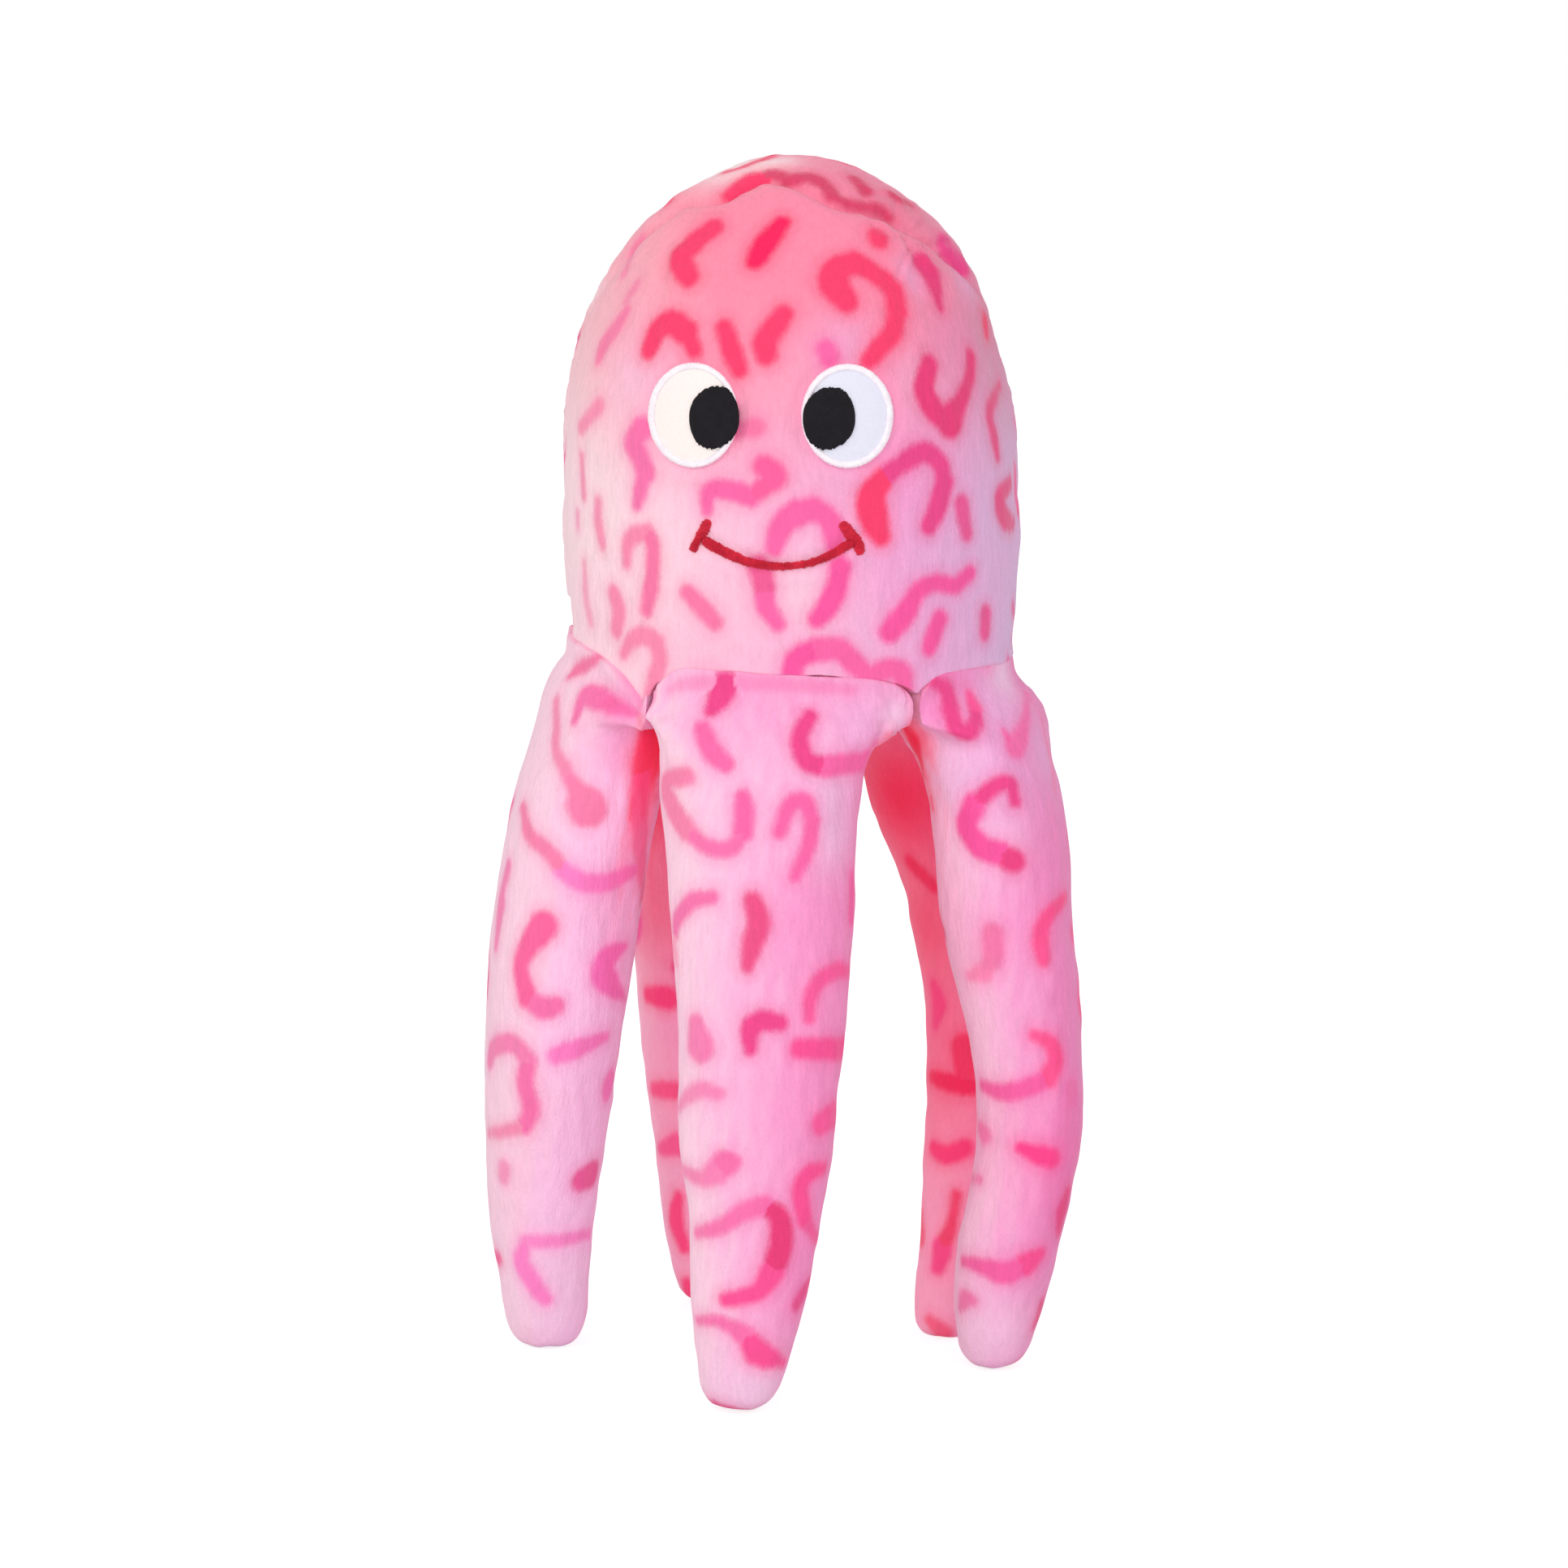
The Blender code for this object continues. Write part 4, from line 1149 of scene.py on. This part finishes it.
def scattered_strokes(piece, tree, trees, strokes, seed):
    """Marks of the printed kind on the cloth that the photograph's camera doesn't see."""
    rng = np.random.default_rng(seed)
    places, normals = points_of(piece), normals_of(piece)
    taken = np.vstack([stroke[2] for stroke in strokes])
    made = []
    for number, index in enumerate(rng.choice(len(places), SCATTER_TRIES, replace=False)):
        centre, normal = Vector(places[index]), Vector(normals[index]).normalized()
        shape, widths = scatter_shape(rng, number < SCATTER_TRIES * 0.5)
        tone = SCATTER_TONES[rng.integers(4)] if centre.z < CROWN_HEIGHT else "ruby"
        if np.linalg.norm(taken - places[index], axis=1).min() < SCATTER_GAP:
            continue
        if not out_of_sight(centre, normal, trees):
            continue
        across = normal.orthogonal().normalized()
        up = normal.cross(across)
        path = np.array([tree.find_nearest(centre + across * x + up * y)[0] for x, y in shape])
        if gaps_to(taken, path).min() < SCATTER_GAP:
            continue
        if not all(out_of_sight(Vector(spot), normal, trees) for spot in path[::6]):
            continue
        made.append((tone, SCATTER_STRENGTH, path, widths))
        taken = np.vstack((taken, path))
    return made


# Face

STITCH = 0.00038  # a thread's width
SAMPLES = 5  # across each thread
GRID_WELD = 1e-7
FACING = 0.4  # a lift along a sight line is at most 1 / FACING times as long


def lofted(name, rings, tips=(None, None), closed=False):
    """A mesh of quads over rings of equal count, with a fan of faces to each tip."""
    shape = bmesh.new()
    rows = [[shape.verts.new(place) for place in ring] for ring in rings]
    pairs = list(zip(rows, rows[1:]))
    if closed:
        pairs.append((rows[-1], rows[0]))
    for row, after in pairs:
        for i in range(len(row)):
            j = (i + 1) % len(row)
            shape.faces.new((row[i], row[j], after[j], after[i]))
    for row, tip in ((rows[0], tips[0]), (rows[-1], tips[1])):
        if tip is not None:
            end = shape.verts.new(tip)
            for i in range(len(row)):
                shape.faces.new((row[i], row[(i + 1) % len(row)], end))
    bmesh.ops.recalc_face_normals(shape, faces=shape.faces)
    return object_of(name, shape)


def outline(grid):
    """The border of a grid of vertices, once round."""
    right = [row[-1] for row in grid[1:-1]]
    left = [row[0] for row in grid[1:-1]][::-1]
    return grid[0] + right + grid[-1][::-1] + left


def grid_solid(name, rows, drop):
    """A closed solid: a sheet over rows of places, and the same sheet moved by drop."""
    shape = bmesh.new()
    sheets = []
    for move in (Vector(), drop):
        sheet = [[shape.verts.new(place + move) for place in row] for row in rows]
        sheets.append(sheet)
    for sheet in sheets:
        for row, after in zip(sheet, sheet[1:]):
            for k in range(len(row) - 1):
                shape.faces.new((row[k], row[k + 1], after[k + 1], after[k]))
    upper, lower = (outline(sheet) for sheet in sheets)
    for i in range(len(upper)):
        j = (i + 1) % len(upper)
        shape.faces.new((upper[i], upper[j], lower[j], lower[i]))
    bmesh.ops.remove_doubles(shape, verts=shape.verts, dist=GRID_WELD)
    bmesh.ops.recalc_face_normals(shape, faces=shape.faces)
    return object_of(name, shape)


# Eyes and pupils in pixels: middle, width and height
EYES = {"left": (854.0, 511.5, 112.0, 130.0), "right": (1044.0, 512.5, 114.0, 129.0)}
RIM_WIDTH = 9.0  # pixels
EYE_LIFT = 0.0005
EYE_CROWN = 0.0007


def above_cloth(tree, x, y, lift):
    """The place on the sight line of a pixel that is that far above the cloth."""
    place, normal = seen_place(tree, x, y)
    direction = sight_line(x, y)
    return place - direction * (lift / max(-direction.dot(normal), FACING))


def ridge_of(part):
    """How high a thread is over one of its samples, 0 to 1."""
    return math.sin(math.pi * (part + 0.5) / SAMPLES)


def eye_place(tree, side, turn, inset, lift):
    """A place that many pixels inside an eye's outline, and that far above the cloth."""
    x, y, width, height = EYES[side]
    across = (width / 2 - inset) * math.sin(turn)
    up = (height / 2 - inset) * math.cos(turn)
    return above_cloth(tree, x + across, y - up, lift)


EYE_SHARES = (0.06, 0.15, 0.25, 0.35, 0.45, 0.55, 0.65, 0.75, 0.83, 0.9, 0.95, 0.985, 1.0)
EYE_UNDER_SHARES = (1.0, 0.9, 0.6, 0.3)
EYE_UNDER = -0.0006
EYE_TUCK = 0.4  # share of the rim's width that the cloth goes under it
EYE_COUNT = 96


def add_eye_white(tree, side):
    """A crowned disc of cloth."""
    x, y, width, _ = EYES[side]
    half = width / 2
    levels = [(share, EYE_LIFT + EYE_CROWN * (1 - share**4)) for share in EYE_SHARES]
    levels += [(share, EYE_UNDER) for share in EYE_UNDER_SHARES]
    turns = [2 * math.pi * i / EYE_COUNT for i in range(EYE_COUNT)]
    rings = []
    for share, lift in levels:
        inset = half - share * (half - RIM_WIDTH * EYE_TUCK)
        rings.append([eye_place(tree, side, turn, inset, lift) for turn in turns])
    tips = [above_cloth(tree, x, y, lift) for lift in (EYE_LIFT + EYE_CROWN, EYE_UNDER)]
    return lofted("eye_white_" + side + "_cloth", rings, tips)


RIM_STITCHES = 170
RIM_HEIGHT = 0.0010
RIM_UNDER = -0.0007
RIM_LIFT = 0.8  # share of the eye cloth's lift
RIM_JITTER = 0.6  # pixels
RIM_NOTCH = 0.5  # pixels
RIM_RIDGE = 0.14
RIM_PROFILE = (
    (0.0, -1), (0.0, 0.0), (0.075, 0.55), (0.25, 0.9), (0.5, 1.0), (0.75, 0.9), (0.925, 0.55),
    (1.0, 0.0), (1.0, -1),
)


def add_eye_rim(tree, side, seed):
    """A raised ring of satin stitches, each one a thread across the ring."""
    rng = np.random.default_rng(seed)
    jitter = rng.uniform(-1, 1, (RIM_STITCHES, 2)) * RIM_JITTER
    around = RIM_STITCHES * SAMPLES
    rings = [[] for _ in RIM_PROFILE]
    for i in range(around):
        turn = 2 * math.pi * i / around
        stitch, part = divmod(i, SAMPLES)
        ridge = ridge_of(part)
        for ring, (share, level) in zip(rings, RIM_PROFILE):
            end = jitter[stitch, 0] if share < 0.5 else jitter[stitch, 1]
            notch = (0.5 - share) * RIM_NOTCH * (1 - ridge)
            inset = share * RIM_WIDTH + end * abs(share - 0.5) + notch
            lift = RIM_UNDER
            if level >= 0:
                raised = 1 - RIM_RIDGE + RIM_RIDGE * ridge
                lift = EYE_LIFT * RIM_LIFT + RIM_HEIGHT * level * raised
            ring.append(eye_place(tree, side, turn, inset, lift))
    return lofted("eye_rim_" + side + "_stitching", rings, closed=True)


PUPILS = {"left": (880.0, 514.5, 62.0, 77.0), "right": (1021.5, 515.5, 65.0, 77.0)}
PUPIL_LEAN = 0.10
PUPIL_TEETH = 1.1  # pixels
PUPIL_STEPS = 36
PUPIL_EDGE = 0.997
PUPIL_ROUND = 2.15
PUPIL_LIFT = 0.0012
PUPIL_CROWN = 0.0008
PUPIL_RIDGE = 0.00009
PUPIL_DEPTH = 0.0010


def add_pupil(tree, side, seed):
    """A filled oval of upright satin threads, whose ends make its edge a little ragged."""
    rng = np.random.default_rng(seed)
    x, y, width, height = PUPILS[side]
    threads = int(width * PIXEL / STITCH)
    across = threads * SAMPLES
    ends = rng.uniform(-1, 1, (threads, 2)) * PUPIL_TEETH
    rows = []
    for i in range(across + 1):
        u = max(min(-1 + 2 * i / across, PUPIL_EDGE), -PUPIL_EDGE)
        stitch, part = divmod(min(i, across - 1), SAMPLES)
        reach = height / 2 * (1 - abs(u) ** PUPIL_ROUND) ** 0.5
        row = []
        for k in range(PUPIL_STEPS + 1):
            v = math.sin(math.pi / 2 * (-1 + 2 * k / PUPIL_STEPS))
            end = ends[stitch, 0] if v < 0 else ends[stitch, 1]
            down = v * (reach + end * v * v * (1 - u**6))
            side_step = u * width / 2 - down * PUPIL_LEAN * (1 - u * u)
            crown = PUPIL_CROWN * (1 - max(abs(u), abs(v)) ** 8) ** 0.5
            lift = PUPIL_LIFT + crown + PUPIL_RIDGE * ridge_of(part)
            row.append(above_cloth(tree, x + side_step, y + down, lift))
        rows.append(row)
    drop = (AIM - EYE).normalized() * PUPIL_DEPTH
    return grid_solid("pupil_" + side + "_stitching", rows, drop)


# The mouth's lines, as x, y and width in pixels
SMILE = (
    (866, 665, 12), (884, 675, 13), (903, 685, 12), (929, 694, 10), (963, 698, 9),
    (996, 694, 9), (1021, 685, 10), (1042, 673, 11), (1053, 666, 11),
)
MOUTH = {
    "smile": SMILE,
    "smile_tick_left": ((873, 640, 9), (868, 652, 12), (860, 664, 9), (853, 680, 11)),
    "smile_tick_right": ((1037, 643, 10), (1046, 656, 13), (1056, 668, 13), (1061, 684, 10)),
}
LINE_STEP = 0.4  # pixels
LINE_EVENED = 20  # steps over which the cloth's facing is evened out
LINE_STITCH = 0.00042
LINE_SPREAD = 1.12  # the threads bulge a little past the drawn width
LINE_JITTER = 0.00016
LINE_LIFT, LINE_HEIGHT, LINE_UNDER = 0.0001, 0.0012, 0.0008
LINE_NARROW, LINE_LOW = 0.16, 0.40  # between two stitches
LINE_END = 0.25  # share of the width that is left at the ends
LINE_PROFILE = (
    (-1.0, 0.0), (-0.85, 0.5), (-0.5, 0.88), (0.0, 1.0), (0.5, 0.88), (0.85, 0.5), (1.0, 0.0),
)


def add_stitched_line(tree, node, pixels, seed):
    """A bar of satin stitches that follows a path of pixels on the head's cloth."""
    rng = np.random.default_rng(seed)
    rows = resampled(pixels, LINE_STEP)
    seen = [seen_place(tree, row[0], row[1]) for row in rows]
    places = [place for place, _ in seen]
    normals = np.array([tuple(normal) for _, normal in seen])
    around = [slice(max(0, i - LINE_EVENED), i + LINE_EVENED + 1) for i in range(len(normals))]
    normals = np.array([normals[part].mean(0) for part in around])
    steps = [(b - a).length for a, b in zip(places, places[1:])]
    length = np.concatenate(([0.0], np.cumsum(steps)))
    stitches = max(int(length[-1] / LINE_STITCH), 4)
    count = stitches * SAMPLES + 1
    stations = np.linspace(0, length[-1], count)
    track = np.column_stack([np.interp(stations, length, [p[k] for p in places]) for k in range(3)])
    facing = np.column_stack([np.interp(stations, length, normals[:, k]) for k in range(3)])
    widths = np.interp(stations, length, rows[:, 2]) * PIXEL * LINE_SPREAD
    jitter = rng.uniform(-1, 1, (stitches + 1, 2)) * LINE_JITTER
    rings = []
    for i in range(count):
        ahead = Vector(track[min(i + 2, count - 1)] - track[max(i - 2, 0)]).normalized()
        normal = Vector(facing[i]).normalized()
        side = ahead.cross(normal).normalized()
        stitch, part = divmod(i, SAMPLES)
        ridge = ridge_of(part)
        into_end = min(i, count - 1 - i) / (SAMPLES * 2)
        round_end = math.sqrt(1 - (1 - min(into_end, 1.0)) ** 2) * (1 - LINE_END) + LINE_END
        ring = []
        for across, level in LINE_PROFILE:
            end = jitter[stitch, 0] if across < 0 else jitter[stitch, 1]
            half = (widths[i] / 2 + end) * round_end * (1 - LINE_NARROW + LINE_NARROW * ridge)
            lift = LINE_LIFT + LINE_HEIGHT * level * round_end * (1 - LINE_LOW + LINE_LOW * ridge)
            ring.append(Vector(track[i]) + side * across * half + normal * lift)
        for across in (1.0, -1.0):
            half = widths[i] / 2 * round_end
            ring.append(Vector(track[i]) + side * across * half - normal * LINE_UNDER)
        rings.append(ring)
    middle = [sum(ring, Vector()) / len(ring) for ring in (rings[0], rings[-1])]
    return lofted(node + "_stitching", rings, middle)


# Materials


def new_material(name):
    made = bpy.data.materials.new(name)
    made.use_nodes = True
    tree = made.node_tree
    return made, tree, tree.nodes["Principled BSDF"]


def set_inputs(tree, node, inputs):
    """Sets a node's inputs to numbers or colours, or links other nodes' outputs to them."""
    for key, value in inputs.items():
        if isinstance(value, bpy.types.NodeSocket):
            tree.links.new(value, node.inputs[key])
        else:
            node.inputs[key].default_value = value


def add_node(tree, kind, inputs=None, **settings):
    node = tree.nodes.new(kind)
    for key, value in settings.items():
        setattr(node, key, value)
    set_inputs(tree, node, inputs or {})
    return node


def rgba(colour):
    return (*srgb(colour), 1.0)


def noise(tree, scale, stretch=(1, 1, 1), detail=2.0):
    """A noise value over the piece's own coordinates, scale cells to a metre."""
    place = add_node(tree, "ShaderNodeTexCoord").outputs["Object"]
    mapped = add_node(tree, "ShaderNodeMapping", {"Vector": place, "Scale": stretch})
    inputs = {"Vector": mapped.outputs["Vector"], "Scale": scale, "Detail": detail}
    return add_node(tree, "ShaderNodeTexNoise", inputs).outputs["Fac"]


def math_node(tree, operation, *values):
    inputs = dict(enumerate(values))
    return add_node(tree, "ShaderNodeMath", inputs, operation=operation).outputs["Value"]


def map_range(tree, value, low, high, to_low, to_high, kind="LINEAR"):
    inputs = {
        "Value": value, "From Min": low, "From Max": high, "To Min": to_low, "To Max": to_high,
    }
    node = add_node(tree, "ShaderNodeMapRange", inputs, interpolation_type=kind)
    return node.outputs["Result"]


def mix_colour(tree, share, first, second):
    inputs = {0: share, 6: first, 7: second}
    return add_node(tree, "ShaderNodeMix", inputs, data_type="RGBA").outputs[2]


def scaled_colour(tree, colour, factor):
    node = add_node(tree, "ShaderNodeVectorMath", operation="SCALE")
    set_inputs(tree, node, {0: colour, "Scale": factor})
    return node.outputs["Vector"]


def attribute(tree, name, output):
    return add_node(tree, "ShaderNodeAttribute", attribute_name=name).outputs[output]


def bumped(tree, height, strength, distance):
    inputs = {"Height": height, "Strength": strength, "Distance": distance}
    return add_node(tree, "ShaderNodeBump", inputs).outputs["Normal"]


HALO = 0.24  # the print's faint tint round each mark,
HALO_REACH = 3.8  # out to so many millimetres
PRINT_EDGE = (-1.50, 1.70)  # from full print to none, millimetres past a mark's outline
PAINTED_GLOW_TINT = (1.0, 0.40, 0.55)  # colour of the painted glow, which stands in for light scattered from pile to pile
NOISE_SPAN = (0.25, 0.75)  # between these lies most of a noise


def varied(tree, value, low, high):
    return map_range(tree, value, *NOISE_SPAN, low, high)


def plush_material():
    """Short-pile plush: printed colour with soft pile edges, an upright grain, sheen, and a painted
    glow where cloth faces cloth.
    """
    made, tree, shader = new_material("plush")
    streak = noise(tree, 950, (1, 1, 0.22), 3.0)
    pile = noise(tree, 2300, (1, 1, 0.6), 2.0)
    blur = noise(tree, 520, (1, 1, 0.5), 3.0)
    edge = attribute(tree, "mark_edge", "Fac")
    for grain, amount in ((blur, 0.28), (pile, 0.16)):
        edge = math_node(tree, "ADD", edge, varied(tree, grain, -amount, amount))
    mask = map_range(tree, edge, *PRINT_EDGE, 1.0, 0.0, "SMOOTHSTEP")
    halo = map_range(tree, edge, 0.0, HALO_REACH, HALO, 0.0, "SMOOTHSTEP")
    mask = math_node(tree, "MAXIMUM", mask, halo)
    mask = math_node(tree, "MULTIPLY", mask, attribute(tree, "mark_strength", "Fac"))
    ground = attribute(tree, "ground", "Color")
    colour = mix_colour(tree, mask, ground, attribute(tree, "mark_colour", "Color"))
    colour = scaled_colour(tree, colour, varied(tree, streak, 0.94, 1.04))
    colour = scaled_colour(tree, colour, varied(tree, pile, 0.965, 1.03))
    # Painted glow: the cloth's colour, tinted, emitted as strongly as the stored glow
    inputs = {0: colour, 1: PAINTED_GLOW_TINT}
    painted_glow_colour = add_node(tree, "ShaderNodeVectorMath", inputs, operation="MULTIPLY")
    height = math_node(tree, "ADD", streak, math_node(tree, "MULTIPLY", pile, 0.55))
    set_inputs(tree, shader, {
        "Base Color": colour,
        "Emission Color": painted_glow_colour.outputs["Vector"],
        "Emission Strength": attribute(tree, "glow", "Fac"),
        "Roughness": 0.92,
        "Specular IOR Level": 0.15,
        "Sheen Weight": 0.25,
        "Sheen Roughness": 0.45,
        "Sheen Tint": (1.0, 0.86, 0.93, 1.0),
        "Normal": bumped(tree, height, 0.55, 0.0005),
    })
    return made


def thread_material(name, colour, dark, roughness, sheen):
    """Satin embroidery thread, a little darker and lighter from thread to thread."""
    made, tree, shader = new_material(name)
    fibre = noise(tree, 3200)
    drift = math_node(tree, "MULTIPLY", noise(tree, 420), 0.5)
    share = math_node(tree, "MULTIPLY_ADD", fibre, 0.6, drift)
    share = map_range(tree, share, 0.35, 0.75, 0.0, 1.0, "SMOOTHSTEP")
    set_inputs(tree, shader, {
        "Base Color": mix_colour(tree, share, rgba(dark), rgba(colour)),
        "Roughness": roughness,
        "Specular IOR Level": 0.2,
        "Sheen Weight": sheen,
        "Normal": bumped(tree, fibre, 0.4, 0.00008),
    })
    return made


def eye_cloth_material():
    """White short-nap cloth with a fine crossed weave, painted warm on the left and cool on the
    right for light and shade.
    """
    made, tree, shader = new_material("eye_cloth")
    weave = [noise(tree, 1900, stretch) for stretch in ((1, 1, 0.35), (0.35, 1, 1))]
    cloth = math_node(tree, "ADD", *[math_node(tree, "MULTIPLY", way, 0.5) for way in weave])
    place = add_node(tree, "ShaderNodeTexCoord").outputs["Object"]
    across = add_node(tree, "ShaderNodeSeparateXYZ", {0: place}).outputs["X"]
    # Painted light: the cloth is warm on the left and cool on the right, as lit and shaded copies
    painted_shade_share = map_range(tree, across, -0.010, 0.010, 0.0, 1.0)
    colour = mix_colour(tree, painted_shade_share, rgba(EYE_CLOTH_PAINTED_LIT), rgba(EYE_CLOTH_PAINTED_SHADE))
    set_inputs(tree, shader, {
        "Base Color": scaled_colour(tree, colour, map_range(tree, cloth, 0.35, 0.65, 0.95, 1.0)),
        "Roughness": 0.9,
        "Specular IOR Level": 0.15,
        "Sheen Weight": 0.15,
        "Normal": bumped(tree, cloth, 0.35, 0.0002),
    })
    return made


# Stage


# Lamps: name, place, size, power, colour
LAMPS = (
    ("key", (-0.75, -1.05, 1.15), 1.2, 6.5, (1.0, 0.975, 0.955)),
    ("front", (0.10, -1.50, 0.22), 1.0, 6.0, (1.0, 0.985, 0.985)),
    ("fill", (1.1, -0.8, 0.7), 1.2, 1.5, (0.96, 0.93, 1.0)),
)
AMBIENT = 0.72
WHITE = (1, 1, 1, 1)
FLOOR_SIZE = 6.0
FLOOR_LIT = (0.85, 0.85, 0.86, 1)
FLOOR_SHOWN = (0.42, 0.42, 0.42, 1)
FLOOR_GLOW = 0.80


def add_light(name, place, size, power, colour):
    lamp = bpy.data.lights.new(name, "AREA")
    lamp.shape = "DISK"
    lamp.size = size
    lamp.energy = power
    lamp.color = colour
    made = new_object(name, lamp)
    made.location = place
    made.rotation_euler = (AIM - Vector(place)).to_track_quat("-Z", "Y").to_euler()


def seen_directly(tree):
    """1 for camera, glossy and transmission rays, and 0 for the light that falls on things."""
    path = add_node(tree, "ShaderNodeLightPath")
    first = math_node(tree, "MAXIMUM", path.outputs["Is Camera Ray"], path.outputs["Is Glossy Ray"])
    return math_node(tree, "MAXIMUM", first, path.outputs["Is Transmission Ray"])


def add_world():
    world = bpy.data.worlds.new("studio")
    bpy.context.scene.world = world
    world.use_nodes = True
    tree = world.node_tree
    background = tree.nodes["Background"]
    strength = map_range(tree, seen_directly(tree), 0, 1, AMBIENT, 1.0)
    set_inputs(tree, background, {"Color": WHITE, "Strength": strength})


def add_floor():
    shape = bmesh.new()
    bmesh.ops.create_grid(shape, x_segments=8, y_segments=8, size=FLOOR_SIZE)
    mesh = bpy.data.meshes.new("floor")
    shape.to_mesh(mesh)
    shape.free()
    floor = new_object("floor", mesh)
    made = bpy.data.materials.new("floor")
    made.use_nodes = True
    tree = made.node_tree
    tree.nodes.clear()
    lit = add_node(tree, "ShaderNodeBsdfDiffuse", {"Color": FLOOR_LIT})
    shown = add_node(tree, "ShaderNodeBsdfDiffuse", {"Color": FLOOR_SHOWN})
    glow = add_node(tree, "ShaderNodeEmission", {"Color": WHITE, "Strength": FLOOR_GLOW})
    both = add_node(tree, "ShaderNodeAddShader", {0: shown.outputs[0], 1: glow.outputs[0]})
    inputs = {0: seen_directly(tree), 1: lit.outputs[0], 2: both.outputs[0]}
    mixed = add_node(tree, "ShaderNodeMixShader", inputs)
    add_node(tree, "ShaderNodeOutputMaterial", {"Surface": mixed.outputs[0]})
    mesh.materials.append(made)


def add_camera():
    camera = bpy.data.cameras.new("camera")
    camera.sensor_width = SENSOR
    camera.lens = SENSOR * (AIM - EYE).length / (PIXEL * PHOTO_SIZE)
    made = new_object("camera", camera)
    made.location = EYE
    made.rotation_euler = (AIM - EYE).to_track_quat("-Z", "Y").to_euler()
    bpy.context.scene.camera = made


def finish_piece(piece, nodes, material):
    piece.data.materials.clear()
    piece.data.materials.append(material)
    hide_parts(*nodes)
    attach(piece, "root")


# Thread materials: colour, dark colour, roughness, sheen
THREADS = {
    "white_thread": (EYE_THREAD, (238, 228, 236), 0.6, 0.1),
    "black_thread": ((24, 19, 27), (8, 6, 10), 0.75, 0.0),
    "red_thread": ((224, 40, 68), (172, 16, 42), 0.55, 0.1),
}


def trees_of(pieces):
    return {node: tree_of(piece) for node, piece in pieces.items()}


def shape_pieces():
    """The padding of the head and of the tentacles, in its final shape."""
    pieces = {node: padding_of(node) for node in (HEAD,) + TENTACLES}
    for node, piece in pieces.items():
        piece["node"] = node
    paths = sewn_paths(tree_of(pieces[HEAD]))
    swell(list(pieces.values()), {pieces[HEAD].name: paths})
    trees = trees_of(pieces)
    store_closeness(list(pieces.values()), trees)
    eyes = [np.array(seen_place(trees[HEAD], x, y)[0]) for x, y, _, _ in EYES.values()]
    mouth = laid(trees[HEAD], [point[:2] for point in SMILE])[0]
    gather = seen_place(trees[HEAD], *GATHER_POINT)
    walls = wall_radii(trees[HEAD])
    for node, piece in pieces.items():
        refine(piece)
        places = meet_roots(piece, close_hem(piece, points_of(piece), walls), walls)
        move_points(piece, fit_outline(piece, scallop(lean_root(piece, places))))
        places = points_of(piece)
        offset, calm = np.zeros(len(places)), np.ones(len(places))
        seams = [(laid(trees[node], fold, FOLD_STEP)[0], FOLD) for fold in FOLDS.get(node, ())]
        if node == HEAD:
            seams = list(zip(paths, (CROWN, DART, DART)))
            offset += gather_offset(places, *gather)
            offset += pressed_offset(places, eyes, mouth)
            away = np.minimum(*[np.linalg.norm(places - eye, axis=1) for eye in eyes])
            calm = smooth_step((away - EYE_CALM_FROM) / (EYE_CALM_TO - EYE_CALM_FROM))
        shape_cloth(piece, seams, calm, offset)
    return pieces


def colour_pieces(pieces, trees):
    """Cloth colour with painted light and shade, painted glow, and marks, in the plush material."""
    plush = plush_material()
    for seed, (node, piece) in enumerate(pieces.items()):
        store(piece, "ground", ground_colour(piece, trees[node]))
        store_painted_glow(piece)
        strokes = photo_strokes(piece, trees[node])
        strokes += scattered_strokes(piece, trees[node], list(trees.values()), strokes, 61 + seed)
        paint_marks(piece, strokes)
        finish_piece(piece, [node], plush)


def add_face(tree):
    """Eyes and mouth, sewn on the head's cloth."""
    cloth = eye_cloth_material()
    threads = {name: thread_material(name, *look) for name, look in THREADS.items()}
    for seed, side in enumerate(EYES):
        finish_piece(add_eye_white(tree, side), ["eye_white_" + side], cloth)
        for node, slot, piece in (
            ("eye_rim_", "white_thread", add_eye_rim(tree, side, 31 + seed)),
            ("pupil_", "black_thread", add_pupil(tree, side, 41 + seed)),
        ):
            finish_piece(piece, [node + side], threads[slot])
    for seed, (node, pixels) in enumerate(MOUTH.items()):
        bar = add_stitched_line(tree, node, pixels, 51 + seed)
        finish_piece(bar, [node], threads["red_thread"])


def build():
    bpy.context.scene.view_settings.view_transform = "Standard"
    add_camera()
    pieces = shape_pieces()
    trees = trees_of(pieces)
    colour_pieces(pieces, trees)
    add_face(trees[HEAD])
    add_world()
    add_floor()
    for lamp in LAMPS:
        add_light(*lamp)


build()
